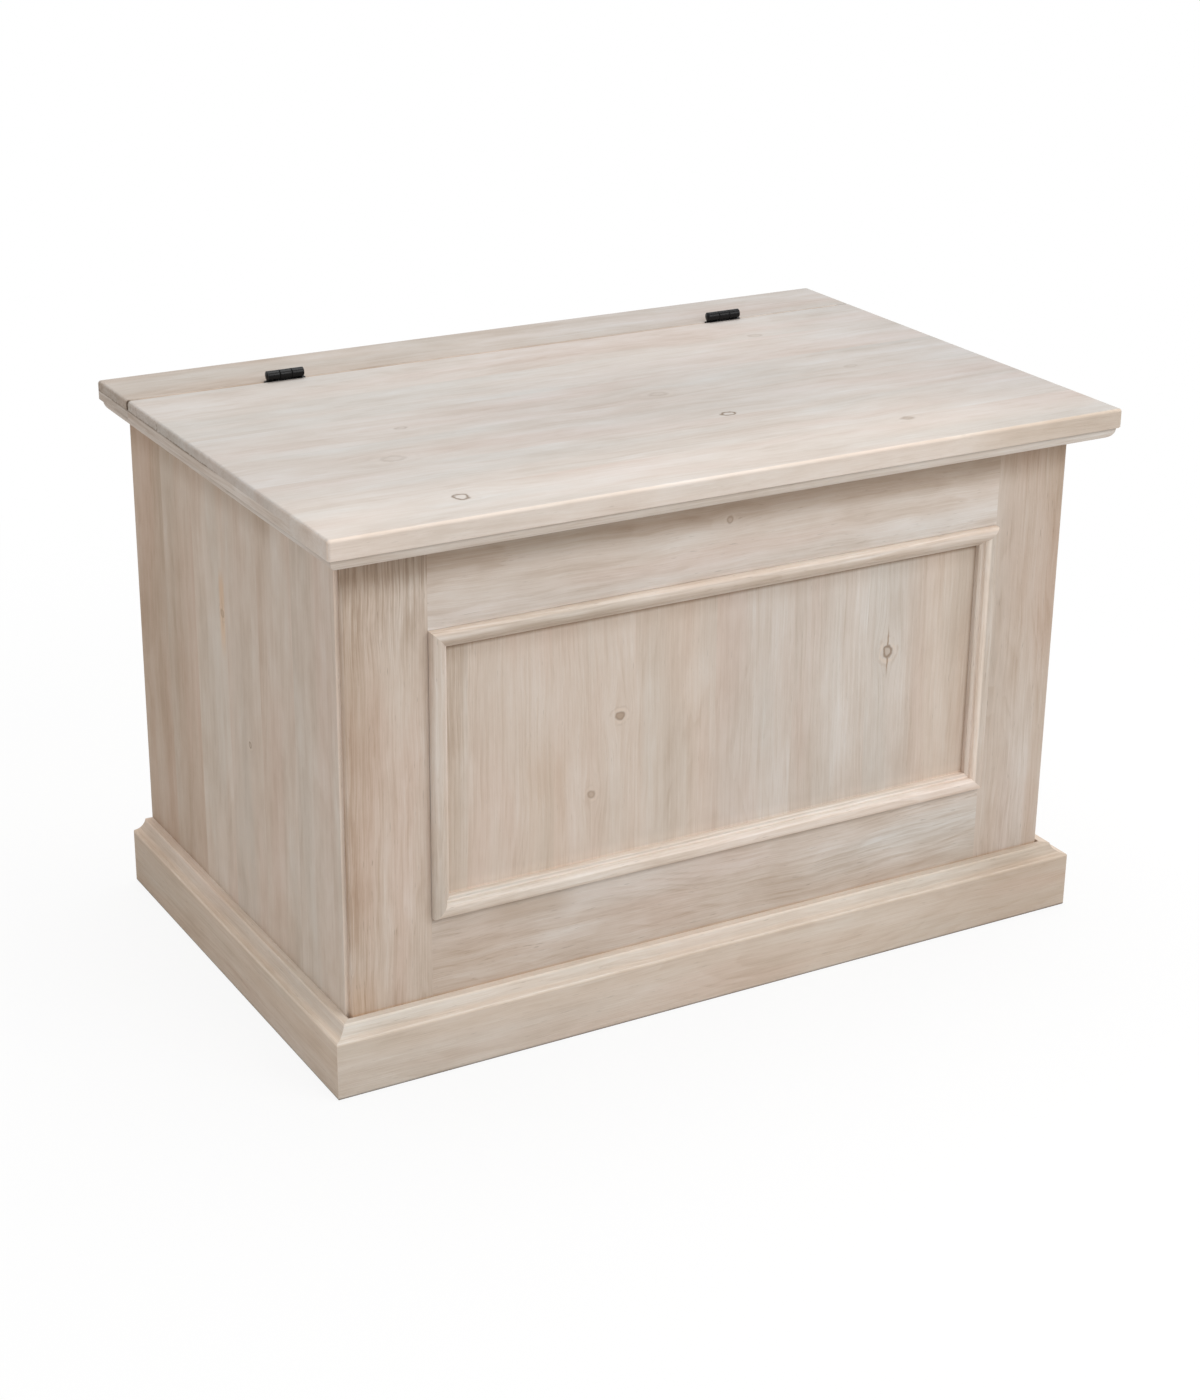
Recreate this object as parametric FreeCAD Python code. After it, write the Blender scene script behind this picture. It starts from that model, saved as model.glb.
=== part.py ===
import FreeCAD, Part
import math
import os

# Storage chest with a panelled front, boarded sides and a lid hinged to a fixed rear rail.
# Millimetres, +Z up, front towards -Y. The origin is on the floor under the centre of the top.

# Whole chest
TOP_LENGTH = 900.0
TOP_DEPTH = 589.0
CHEST_HEIGHT = 582.0
FRONT_OVERHANG = 45.5
SIDE_OVERHANG = 27.6
REAR_OVERHANG = 16.3
CARCASS_FOOT = 12.0

# Top: the lid boards, the fixed rail behind them and the lippings let in under their ends
TOP_THICKNESS = 21.0
HINGE_RAIL_WIDTH = 88.0
SEAM_GAP = 2.4
LIPPING_SEAM_GAP = 0.4
LID_SEAT_GAP = 0.3
LID_BOARD_COUNT = 6
LIPPING_THICKNESS = 10.5
LIPPING_WIDTH = 40.0
TOP_ROUND = 3.5
TOP_LOWER_BEVEL = 1.2
SEAM_BEVEL = 0.8

# Moulded rim that caps the carcass under the lid
RIM_HEIGHT = 12.5
RIM_RECESS = 4.0
RIM_LIP = 1.0

# Front frame
FRAME_THICKNESS = 22.0
STILE_WIDTH = 87.0
TOP_RAIL_WIDTH = 88.0
BOTTOM_RAIL_TOP = 160.2
FRAME_INSET = 4.5
FRAME_PROUD = 7.0
FRAME_ROUND = 2.5
TENON_LENGTH = 30.0
TENON_SHOULDER = 12.0
JOINT_CLEARANCE = 0.2

# Front panel and the mitred moulding planted on it
PANEL_RECESS = 6.3
PANEL_THICKNESS = 8.0
GROOVE_DEPTH = 9.0
PANEL_PLAY = 2.0
MOULDING_GAP = 0.4
MOULDING_WIDTH = 19.0
MOULDING_PROUD = 10.0
MOULDING_SIDE_SHARE = 0.62
ROLL_START_SHARE = (0.10, 0.90)
ROLL_CREST_SHARE = (0.34, 1.0)
ROLL_FALL_SHARE = (0.64, 0.86)
ROLL_END_SHARE = (0.76, 0.58)
STEP_FOOT_SHARE = (0.76, 0.47)
FILLET_MID_SHARE = (0.90, 0.44)
FILLET_END_SHARE = (1.0, 0.33)

# Sides
SIDE_THICKNESS = 20.0
SIDE_JOINT_SHARES = (0.0, 0.192, 0.354, 0.515, 0.677, 0.838, 1.0)
SIDE_LIP_ROUND = 1.2

# Back
BACK_THICKNESS = 14.0
BACK_LAP = 10.0
BACK_BOARD_COUNT = 4

# Floor
FLOOR_UNDERSIDE = 62.0
FLOOR_THICKNESS = 14.0
FLOOR_BOARD_COUNT = 4
FLOOR_PLAY = 0.3
CLEAT_SIZE = 20.0

# Plinth
PLINTH_THICKNESS = 23.0
PLINTH_HEIGHT = 73.8
PLINTH_FACE_HEIGHT = 61.5
PLINTH_COVE_RISE = 1.2
PLINTH_COVE_SETBACK = 1.0
PLINTH_COVE_DEPTH = 14.5
PLINTH_FOOT_ROUND = 2.0
COVE_MID_SHARE = (0.72, 0.36)

# Hinges: leaves in the seam, barrel above the top
HINGE_SPACING = 547.2
BARREL_LENGTH = 41.0
LEAF_MARGIN = 2.5
LEAF_THICKNESS = 1.6
LEAF_GAP = 0.4
LEAF_REACH = 17.0
LEAF_COLLAR = 1.0
BARREL_RADIUS = 5.0
BARREL_RISE = 6.5
KNUCKLE_COUNT = 3
KNUCKLE_GAP = 0.3
PIN_RADIUS = 2.0
PIN_CLEARANCE = 0.05
PIN_HEAD_RADIUS = 4.4
PIN_HEAD_HEIGHT = 1.2

# Hinge screws
SCREWS_PER_LEAF = 2
SCREW_SPACING = 24.0
SCREW_DROP = 9.5
SCREW_RADIUS = 1.6
SCREW_HEAD_RADIUS = 3.0
SCREW_HEAD_DEPTH = 1.4
SCREW_LENGTH = 22.0
SCREW_CLEARANCE = 0.05

# Working values
OVERRUN = 5.0
TOUCH = 0.001

# Planes that several pieces share
top_half_length = TOP_LENGTH / 2
top_front = -TOP_DEPTH / 2
top_rear = TOP_DEPTH / 2
top_under = CHEST_HEIGHT - TOP_THICKNESS
lid_under = top_under + LID_SEAT_GAP
rim_foot = top_under - RIM_HEIGHT
carcass_top = rim_foot
carcass_half_length = top_half_length - SIDE_OVERHANG
frame_face = top_front + FRONT_OVERHANG
frame_rear = frame_face + FRAME_THICKNESS
carcass_rear = top_rear - REAR_OVERHANG
side_inner = carcass_half_length - SIDE_THICKNESS
side_front = frame_face + FRAME_PROUD
frame_half_length = carcass_half_length - FRAME_INSET
opening_half_length = frame_half_length - STILE_WIDTH
opening_foot = BOTTOM_RAIL_TOP
opening_top = carcass_top - TOP_RAIL_WIDTH
panel_face = frame_face + PANEL_RECESS
back_inner = carcass_rear - BACK_THICKNESS
back_half_length = carcass_half_length - BACK_LAP
seam = top_rear - HINGE_RAIL_WIDTH - SEAM_GAP / 2
lid_rear = seam - SEAM_GAP / 2
rail_front = seam + SEAM_GAP / 2
lipping_top = top_under + LIPPING_THICKNESS
lipping_start = top_half_length - LIPPING_WIDTH
lid_board_width = (lid_rear - top_front) / LID_BOARD_COUNT
barrel_height = CHEST_HEIGHT + BARREL_RISE
leaf_length = BARREL_LENGTH + LEAF_MARGIN + LEAF_MARGIN


def point(x, y, z):
    return FreeCAD.Vector(x, y, z)


AXIS_X = point(1, 0, 0)
AXIS_Y = point(0, 1, 0)
AXIS_Z = point(0, 0, 1)
ORIGIN = point(0, 0, 0)
QUARTER_TURN = 90


def block(low, high):
    size = [high[i] - low[i] for i in range(3)]
    return Part.makeBox(size[0], size[1], size[2], point(*low))


def edges_at(shape, **place):
    """The edges whose ends all lie at the given coordinates."""
    found = []
    for edge in shape.Edges:
        ends = [vertex.Point for vertex in edge.Vertexes]
        if all(abs(getattr(end, axis) - value) < TOUCH for end in ends for axis, value in place.items()):
            found.append(edge)
    return found


def turned(shape, axis, angle):
    result = shape.copy()
    result.rotate(ORIGIN, axis, angle)
    return result


def moved(shape, x, y, z):
    result = shape.copy()
    result.translate(point(x, y, z))
    return result


def path_face(steps, place):
    """A face from a start point and steps: a point for a line, two points for an arc."""
    start = steps[0]
    last = start
    edges = []
    for step in steps[1:] + [start]:
        if isinstance(step[0], tuple):
            edges.append(Part.Arc(place(*last), place(*step[0]), place(*step[1])).toShape())
            last = step[1]
        else:
            edges.append(Part.makeLine(place(*last), place(*step)))
            last = step
    return Part.Face(Part.Wire(edges))


def moulded_run(section, length, depth, height, left_mitre, right_mitre):
    """A strip along X with its moulded face at y = 0, mitred at its ends by the given depths."""
    half = length / 2
    face = path_face(section, lambda d, z: point(-half, d, z))
    strip = face.extrude(point(length, 0, 0))
    plan = [(-half, 0), (half, 0), (half - right_mitre, right_mitre), (half - right_mitre, depth),
            (-half + left_mitre, depth), (-half + left_mitre, left_mitre)]
    corners = [plan[0]]
    for corner in plan[1:]:
        if corner != corners[-1] and corner != corners[0]:
            corners.append(corner)
    trim = path_face(corners, lambda x, d: point(x, d, -OVERRUN))
    trim = trim.extrude(point(0, 0, height + OVERRUN + OVERRUN))
    return strip.common(trim).Solids[0]


# Top

def top_board(y_front, y_rear, under, rounded_side, lipped):
    """One board of the top. rounded_side is -1 at the front edge, +1 at the rear edge, 0 between."""
    board = block((-top_half_length, y_front, under), (top_half_length, y_rear, CHEST_HEIGHT))
    edges = edges_at(board, x=-top_half_length, z=CHEST_HEIGHT)
    edges += edges_at(board, x=top_half_length, z=CHEST_HEIGHT)
    outer = {-1: y_front, 1: y_rear}.get(rounded_side)
    if outer is not None:
        edges += edges_at(board, y=outer, z=CHEST_HEIGHT)
        edges += edges_at(board, y=outer, x=-top_half_length)
        edges += edges_at(board, y=outer, x=top_half_length)
    board = board.makeFillet(TOP_ROUND, edges)
    if outer is not None:
        board = board.makeChamfer(TOP_LOWER_BEVEL, edges_at(board, y=outer, z=under))
    if lipped:
        for side in (-1, 1):
            inner = side * lipping_start
            outer_end = side * (top_half_length + OVERRUN)
            low = (min(inner, outer_end), y_front - OVERRUN, under - OVERRUN)
            high = (max(inner, outer_end), y_rear + OVERRUN, lipping_top)
            board = board.cut(block(low, high))
    return board


def lipping(side, y_front, y_rear, under, rear_corner):
    """The strip let in under the board ends, flush with them."""
    ends = sorted((side * lipping_start, side * top_half_length))
    strip = block((ends[0], y_front, under), (ends[1], y_rear, lipping_top))
    if rear_corner:
        strip = strip.makeFillet(TOP_ROUND, edges_at(strip, x=side * top_half_length, y=y_rear))
    return strip.makeChamfer(TOP_LOWER_BEVEL, edges_at(strip, x=side * top_half_length, z=under))


def hinge_places():
    return [("left", -HINGE_SPACING / 2), ("right", HINGE_SPACING / 2)]


def leaf_recesses(side):
    """What is cut from a board's seam edge for the leaves. side is -1 for the lid, +1 for the rail."""
    depth = LEAF_GAP / 2 + LEAF_THICKNESS
    cuts = []
    for name, x in hinge_places():
        reach = leaf_length / 2 + JOINT_CLEARANCE
        ends = sorted((seam, seam + side * depth))
        low = (x - reach, ends[0], CHEST_HEIGHT - LEAF_REACH - JOINT_CLEARANCE)
        high = (x + reach, ends[1], CHEST_HEIGHT + OVERRUN)
        cuts.append(block(low, high))
        for screw_x in screw_places(x):
            start = point(screw_x, seam, CHEST_HEIGHT - SCREW_DROP)
            bore = SCREW_RADIUS + SCREW_CLEARANCE
            cuts.append(Part.makeCylinder(bore, SCREW_LENGTH + OVERRUN, start, AXIS_Y * side))
    return cuts


def lid_boards():
    boards = {}
    for index in range(LID_BOARD_COUNT):
        y_front = top_front + index * lid_board_width
        y_rear = y_front + lid_board_width
        first = index == 0
        last = index == LID_BOARD_COUNT - 1
        board = top_board(y_front, y_rear, lid_under, -1 if first else 0, not first)
        if last:
            board = board.makeChamfer(SEAM_BEVEL, edges_at(board, y=y_rear, z=CHEST_HEIGHT))
            for cut in leaf_recesses(-1):
                board = board.cut(cut)
        boards["lid_board_%d" % (index + 1)] = board
    return boards


def hinge_rail():
    rail = top_board(rail_front, top_rear, top_under, 1, True)
    rail = rail.makeChamfer(SEAM_BEVEL, edges_at(rail, y=rail_front, z=CHEST_HEIGHT))
    for cut in leaf_recesses(1):
        rail = rail.cut(cut)
    return rail


def top_lippings():
    """Closer together at the seam than the boards above them."""
    front = top_front + lid_board_width
    reach = LIPPING_SEAM_GAP / 2
    pieces = {}
    for name, side in (("left", -1), ("right", 1)):
        pieces["lid_%s_lipping" % name] = lipping(side, front, seam - reach, lid_under, False)
        pieces["rail_%s_lipping" % name] = lipping(side, seam + reach, top_rear, top_under, True)
    return pieces


# Rim

def rim_section(depth):
    curve = RIM_HEIGHT - RIM_LIP
    middle = curve * (1 - math.cos(math.pi / 4))
    return [(0, top_under), (0, top_under - RIM_LIP),
            ((middle, rim_foot + middle), (curve, rim_foot)),
            (depth, rim_foot), (depth, top_under)]


def rims():
    """Four mitred strips with an ovolo under their edge. The front one also covers the frame."""
    half_length = top_half_length - RIM_RECESS
    front = top_front + RIM_RECESS
    rear = top_rear - RIM_RECESS
    side_depth = half_length - side_inner
    front_depth = frame_rear - front

    def run(length, depth):
        return moulded_run(rim_section(depth), length, depth, top_under, side_depth, side_depth)

    middle = (front + rear) / 2
    side_run = run(rear - front, side_depth)
    return {
        "rim_front": moved(run(half_length + half_length, front_depth), 0, front, 0),
        "rim_left": moved(turned(side_run, AXIS_Z, -QUARTER_TURN), -half_length, middle, 0),
        "rim_right": moved(turned(side_run, AXIS_Z, QUARTER_TURN), half_length, middle, 0),
        "rim_rear": moved(turned(run(half_length + half_length, side_depth), AXIS_Z, QUARTER_TURN * 2),
                          0, rear, 0),
    }


# Front frame and panel

def tenon_levels(low, high, at_foot):
    """Foot and top of a rail's tenon: a shoulder on the outer side, the groove on the opening side."""
    if at_foot:
        return low + TENON_SHOULDER, high - GROOVE_DEPTH - PANEL_PLAY
    return low + GROOVE_DEPTH + PANEL_PLAY, high - TENON_SHOULDER


def rail_levels():
    return {"front_top_rail": (opening_top, carcass_top, False),
            "front_bottom_rail": (CARCASS_FOOT, opening_foot, True)}


def front_rails():
    rails = {}
    for name, (low, high, at_foot) in rail_levels().items():
        rail = block((-opening_half_length, frame_face, low), (opening_half_length, frame_rear, high))
        foot, top = tenon_levels(low, high, at_foot)
        reach = opening_half_length + TENON_LENGTH
        rail = rail.fuse(block((-reach, panel_face, foot), (reach, panel_face + PANEL_THICKNESS, top)))
        edge = (high - GROOVE_DEPTH, high + OVERRUN) if at_foot else (low - OVERRUN, low + GROOVE_DEPTH)
        rail = rail.cut(block((-opening_half_length - OVERRUN, panel_face, edge[0]),
                              (opening_half_length + OVERRUN, panel_face + PANEL_THICKNESS, edge[1])))
        rails[name] = rail.removeSplitter()
    return rails


def front_stile(side):
    ends = sorted((side * opening_half_length, side * frame_half_length))
    stile = block((ends[0], frame_face, CARCASS_FOOT), (ends[1], frame_rear, carcass_top))
    stile = stile.makeFillet(FRAME_ROUND, edges_at(stile, x=side * frame_half_length, y=frame_face))
    groove = sorted((side * (opening_half_length - OVERRUN), side * (opening_half_length + GROOVE_DEPTH)))
    stile = stile.cut(block((groove[0], panel_face, opening_foot - GROOVE_DEPTH),
                            (groove[1], panel_face + PANEL_THICKNESS, opening_top + GROOVE_DEPTH)))
    for low, high, at_foot in rail_levels().values():
        foot, top = tenon_levels(low, high, at_foot)
        reach = opening_half_length + TENON_LENGTH + JOINT_CLEARANCE
        hole = sorted((side * (opening_half_length - OVERRUN), side * reach))
        stile = stile.cut(block((hole[0], panel_face, foot), (hole[1], panel_face + PANEL_THICKNESS, top)))
    return stile


def front_panel():
    spread = GROOVE_DEPTH - PANEL_PLAY
    return block((-opening_half_length - spread, panel_face, opening_foot - spread),
                 (opening_half_length + spread, panel_face + PANEL_THICKNESS, opening_top + spread))


def panel_moulding_section():
    """Side wall, wide roll, small step and thin inner fillet, over the panel's face."""
    height = PANEL_RECESS + MOULDING_PROUD

    def at(share):
        return (share[0] * MOULDING_WIDTH, share[1] * height)

    return [(0, 0), (0, MOULDING_SIDE_SHARE * height),
            (at(ROLL_START_SHARE), at(ROLL_CREST_SHARE)),
            (at(ROLL_FALL_SHARE), at(ROLL_END_SHARE)),
            at(STEP_FOOT_SHARE),
            (at(FILLET_MID_SHARE), at(FILLET_END_SHARE)),
            (MOULDING_WIDTH, 0)]


def panel_mouldings():
    """Four mitred strips inside the opening, clear of the frame by a narrow shadow gap."""
    half_length = opening_half_length - MOULDING_GAP
    half_height = (opening_top - opening_foot) / 2 - MOULDING_GAP
    middle = (opening_top + opening_foot) / 2
    height = PANEL_RECESS + MOULDING_PROUD
    pieces = {}
    for name, half_run, reach, angle in (
            ("bottom", half_length, half_height, 0),
            ("left", half_height, half_length, QUARTER_TURN),
            ("top", half_length, half_height, QUARTER_TURN * 2),
            ("right", half_height, half_length, -QUARTER_TURN)):
        strip = moulded_run(panel_moulding_section(), half_run + half_run, MOULDING_WIDTH, height,
                            MOULDING_WIDTH, MOULDING_WIDTH)
        strip = turned(strip, AXIS_X, QUARTER_TURN)
        strip = turned(moved(strip, 0, 0, -reach), AXIS_Y, angle)
        pieces["panel_moulding_%s" % name] = moved(strip, 0, panel_face, middle)
    return pieces


# Sides, back and floor

def side_boards(name, side):
    """Upright boards from front to rear. The first and last are rebated for the frame and the back."""
    joints = [side_front + share * (carcass_rear - side_front) for share in SIDE_JOINT_SHARES]
    board_count = len(joints) - 1
    boards = {}
    for index in range(board_count):
        ends = sorted((side * side_inner, side * carcass_half_length))
        board = block((ends[0], joints[index], CARCASS_FOOT), (ends[1], joints[index + 1], carcass_top))
        if index == 0:
            board = board.makeFillet(SIDE_LIP_ROUND,
                                     edges_at(board, x=side * carcass_half_length, y=side_front))
            rebate = sorted((side * (side_inner - OVERRUN), side * frame_half_length))
            board = board.cut(block((rebate[0], side_front - OVERRUN, CARCASS_FOOT - OVERRUN),
                                    (rebate[1], frame_rear, carcass_top + OVERRUN)))
        if index == board_count - 1:
            rebate = sorted((side * (side_inner - OVERRUN), side * back_half_length))
            board = board.cut(block((rebate[0], back_inner, CARCASS_FOOT - OVERRUN),
                                    (rebate[1], carcass_rear + OVERRUN, carcass_top + OVERRUN)))
        boards["%s_side_board_%d" % (name, index + 1)] = board
    return boards


def back_pieces():
    """A foot rail that stands on the floor, with the back boards stacked on it."""
    pieces = {"back_foot_rail": block((-back_half_length, back_inner, 0),
                                      (back_half_length, carcass_rear, FLOOR_UNDERSIDE))}
    width = (carcass_top - FLOOR_UNDERSIDE) / BACK_BOARD_COUNT
    for index in range(BACK_BOARD_COUNT):
        low = FLOOR_UNDERSIDE + index * width
        pieces["back_board_%d" % (index + 1)] = block((-back_half_length, back_inner, low),
                                                      (back_half_length, carcass_rear, low + width))
    return pieces


def floor_pieces():
    """Boards along the chest on four cleats."""
    pieces = {}
    width = (back_inner - frame_rear - FLOOR_PLAY - FLOOR_PLAY) / FLOOR_BOARD_COUNT
    reach = side_inner - FLOOR_PLAY
    for index in range(FLOOR_BOARD_COUNT):
        y_front = frame_rear + FLOOR_PLAY + index * width
        pieces["floor_board_%d" % (index + 1)] = block(
            (-reach, y_front, FLOOR_UNDERSIDE), (reach, y_front + width, FLOOR_UNDERSIDE + FLOOR_THICKNESS))
    foot = FLOOR_UNDERSIDE - CLEAT_SIZE
    front = frame_rear + CLEAT_SIZE
    rear = back_inner - CLEAT_SIZE
    pieces["floor_cleat_front"] = block((-side_inner, frame_rear, foot), (side_inner, front, FLOOR_UNDERSIDE))
    pieces["floor_cleat_rear"] = block((-side_inner, rear, foot), (side_inner, back_inner, FLOOR_UNDERSIDE))
    for name, side in (("left", -1), ("right", 1)):
        ends = sorted((side * side_inner, side * (side_inner - CLEAT_SIZE)))
        pieces["floor_cleat_%s" % name] = block((ends[0], front, foot), (ends[1], rear, FLOOR_UNDERSIDE))
    return pieces


# Plinth

def plinth_section():
    """Flat face, a small step in, and a cove up to the flat that meets the carcass."""
    cove_foot = PLINTH_FACE_HEIGHT + PLINTH_COVE_RISE
    rise = PLINTH_HEIGHT - cove_foot
    run = PLINTH_COVE_DEPTH - PLINTH_COVE_SETBACK
    middle = (PLINTH_COVE_SETBACK + COVE_MID_SHARE[0] * run, cove_foot + COVE_MID_SHARE[1] * rise)
    corner = PLINTH_FOOT_ROUND * (1 - math.cos(math.pi / 4))
    return [(PLINTH_FOOT_ROUND, 0),
            ((corner, corner), (0, PLINTH_FOOT_ROUND)),
            (0, PLINTH_FACE_HEIGHT),
            (PLINTH_COVE_SETBACK, cove_foot),
            (middle, (PLINTH_COVE_DEPTH, PLINTH_HEIGHT)),
            (PLINTH_THICKNESS, PLINTH_HEIGHT),
            (PLINTH_THICKNESS, 0)]


def plinths():
    half_length = carcass_half_length + PLINTH_THICKNESS
    front = frame_face - PLINTH_THICKNESS
    middle = (front + carcass_rear) / 2

    def run(length, left_mitre, right_mitre):
        return moulded_run(plinth_section(), length, PLINTH_THICKNESS, PLINTH_HEIGHT, left_mitre, right_mitre)

    left = turned(run(carcass_rear - front, 0, PLINTH_THICKNESS), AXIS_Z, -QUARTER_TURN)
    right = turned(run(carcass_rear - front, PLINTH_THICKNESS, 0), AXIS_Z, QUARTER_TURN)
    face = run(half_length + half_length, PLINTH_THICKNESS, PLINTH_THICKNESS)
    return {
        "plinth_front": moved(face, 0, front, 0),
        "plinth_left": moved(left, -half_length, middle, 0),
        "plinth_right": moved(right, half_length, middle, 0),
    }


# Hinges

def screw_places(x):
    span = SCREW_SPACING * (SCREWS_PER_LEAF - 1)
    return [x - span / 2 + index * SCREW_SPACING for index in range(SCREWS_PER_LEAF)]


def countersunk_screw(x, side):
    """A screw whose flat head is flush with the leaf's face in the seam."""
    face = seam + side * LEAF_GAP / 2
    start = point(x, face, CHEST_HEIGHT - SCREW_DROP)
    head = Part.makeCone(SCREW_HEAD_RADIUS, SCREW_RADIUS, SCREW_HEAD_DEPTH, start, AXIS_Y * side)
    shank = Part.makeCylinder(SCREW_RADIUS, SCREW_LENGTH, start, AXIS_Y * side)
    return head.fuse(shank).removeSplitter()


def leaf(x, side):
    """One leaf with its knuckles. The rail's leaf has the outer ones, the lid's leaf those between."""
    half_leaf = leaf_length / 2
    half = BARREL_LENGTH / 2
    faces = sorted((seam + side * LEAF_GAP / 2, seam + side * (LEAF_GAP / 2 + LEAF_THICKNESS)))
    shoulder = barrel_height - BARREL_RADIUS - LEAF_COLLAR / 2
    shape = block((x - half_leaf, faces[0], CHEST_HEIGHT - LEAF_REACH), (x + half_leaf, faces[1], shoulder))
    pitch = BARREL_LENGTH / KNUCKLE_COUNT
    start_index = 0 if side > 0 else 1
    for index in range(start_index, KNUCKLE_COUNT, 2):
        low = x - half + index * pitch + (KNUCKLE_GAP / 2 if index else 0)
        high = x - half + (index + 1) * pitch - (KNUCKLE_GAP / 2 if index < KNUCKLE_COUNT - 1 else 0)
        barrel = Part.makeCylinder(BARREL_RADIUS, high - low, point(low, seam, barrel_height), AXIS_X)
        web = block((low, faces[0], shoulder - LEAF_COLLAR), (high, faces[1], barrel_height))
        shape = shape.fuse(barrel).fuse(web)
    bore = Part.makeCylinder(PIN_RADIUS + PIN_CLEARANCE, BARREL_LENGTH + OVERRUN + OVERRUN,
                             point(x - half - OVERRUN, seam, barrel_height), AXIS_X)
    shape = shape.cut(bore)
    for screw_x in screw_places(x):
        shape = shape.cut(countersunk_screw(screw_x, side))
    return shape.removeSplitter()


def hinge_pin(x):
    """A pin with a domed head at each end of the barrel."""
    half = BARREL_LENGTH / 2
    pin = Part.makeCylinder(PIN_RADIUS, BARREL_LENGTH, point(x - half, seam, barrel_height), AXIS_X)
    dome = (PIN_HEAD_RADIUS ** 2 + PIN_HEAD_HEIGHT ** 2) / (2 * PIN_HEAD_HEIGHT)
    for side in (-1, 1):
        end = x + side * half
        ball = Part.makeSphere(dome, point(end + side * (PIN_HEAD_HEIGHT - dome), seam, barrel_height))
        keep = sorted((end, end + side * (PIN_HEAD_HEIGHT + OVERRUN)))
        cap = ball.common(block((keep[0], seam - BARREL_RADIUS, barrel_height - BARREL_RADIUS),
                                (keep[1], seam + BARREL_RADIUS, barrel_height + BARREL_RADIUS)))
        pin = pin.fuse(cap)
    return pin.removeSplitter()


def hinges():
    pieces = {}
    pins = []
    screws = {"rail": [], "lid": []}
    for name, x in hinge_places():
        pieces["hinge_%s_rail_leaf" % name] = leaf(x, 1)
        pieces["hinge_%s_lid_leaf" % name] = leaf(x, -1)
        pins.append(hinge_pin(x))
        for screw_x in screw_places(x):
            screws["rail"].append(countersunk_screw(screw_x, 1))
            screws["lid"].append(countersunk_screw(screw_x, -1))
    pieces["hinge_pins"] = Part.makeCompound(pins)
    pieces["hinge_rail_screws"] = Part.makeCompound(screws["rail"])
    pieces["hinge_lid_screws"] = Part.makeCompound(screws["lid"])
    return pieces


def chest():
    pieces = {"hinge_rail": hinge_rail(), "front_panel": front_panel()}
    pieces.update(lid_boards())
    pieces.update(top_lippings())
    pieces.update(rims())
    pieces.update(front_rails())
    pieces.update(panel_mouldings())
    pieces.update(back_pieces())
    pieces.update(floor_pieces())
    pieces.update(plinths())
    pieces.update(hinges())
    for name, side in (("left", -1), ("right", 1)):
        pieces["front_%s_stile" % name] = front_stile(side)
        pieces.update(side_boards(name, side))
    return pieces


os.makedirs("parts", exist_ok=True)
for node, shape in sorted(chest().items()):
    shape.exportStep(os.path.join("parts", node + ".step"))
    print(node, len(shape.Solids), round(shape.Volume), shape.isValid())
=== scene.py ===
"""Limed pine storage chest: the finish of every piece, and a plain studio around it."""
import math

import bpy
from mathutils import Matrix, Vector


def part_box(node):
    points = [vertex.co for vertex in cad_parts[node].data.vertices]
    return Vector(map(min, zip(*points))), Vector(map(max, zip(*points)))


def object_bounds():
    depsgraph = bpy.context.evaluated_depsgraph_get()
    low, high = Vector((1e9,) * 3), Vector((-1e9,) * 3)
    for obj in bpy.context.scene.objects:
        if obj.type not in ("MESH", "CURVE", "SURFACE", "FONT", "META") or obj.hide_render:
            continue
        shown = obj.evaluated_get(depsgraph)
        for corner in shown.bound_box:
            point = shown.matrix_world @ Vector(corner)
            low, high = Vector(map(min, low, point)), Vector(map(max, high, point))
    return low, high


bl_info = {
    "name": "Limed pine storage chest",
    "version": (1, 0, 0),
    "blender": (4, 5, 0),
    "location": "3D View > Sidebar > Chest",
    "description": "Finishes the boards, mouldings and hinges of a storage chest and sets a plain studio",
    "category": "Object",
}

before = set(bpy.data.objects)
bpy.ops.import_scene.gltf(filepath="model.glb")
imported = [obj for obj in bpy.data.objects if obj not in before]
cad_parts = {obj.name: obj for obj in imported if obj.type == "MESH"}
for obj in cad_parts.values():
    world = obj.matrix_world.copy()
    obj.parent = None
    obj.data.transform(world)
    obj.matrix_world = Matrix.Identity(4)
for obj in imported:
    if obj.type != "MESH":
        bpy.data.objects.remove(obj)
CAD_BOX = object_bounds()

# Axes of the chest: X along it to the right, Y to the back, Z up
X, Y, Z = 0, 1, 2

# Grain frames: the axes along the grain, across the board and through it
ALONG_X_FLAT = (X, Y, Z)
ALONG_X_UPRIGHT = (X, Z, Y)
ALONG_Y_FLAT = (Y, X, Z)
ALONG_Y_UPRIGHT = (Y, Z, X)
UPRIGHT_FACING_Y = (Z, X, Y)
UPRIGHT_FACING_X = (Z, Y, X)

# Waves of the grain: how many to the metre along and across it, noise detail, seed step, and share of a
# board's wave
SLOW_WAVE = (2.6, 6.0, 2.0, 5.3, 2.0)
QUICK_WAVE = (12.0, 16.0, 1.0, 2.9, 0.6)

# Bend of the grain around a knot: reach in knot radii, share, and stretch along the grain
BEND_REACH = 2.6
BEND_SHARE = 0.85
BEND_STRETCH = 0.5

# Wander of a ring's radius: how many to the metre along and across the grain, noise detail, and metres
RING_DRIFT = (1.9, 3.0, 1.0, 0.07)
RING_RIPPLE = (14.0, 60.0, 2.0, 0.005)
RING_SEED_STEP = 3.7

# Uneven width of the rings: how often it changes to the metre, and by how many ring spacings
UNEVEN_RINGS = (120.0, 2.5)

# Parts of a ring over which its dark line rises and falls
DARK_LINE_RISE = (0.25, 0.86)
DARK_LINE_FALL = (0.88, 1.0)

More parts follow.
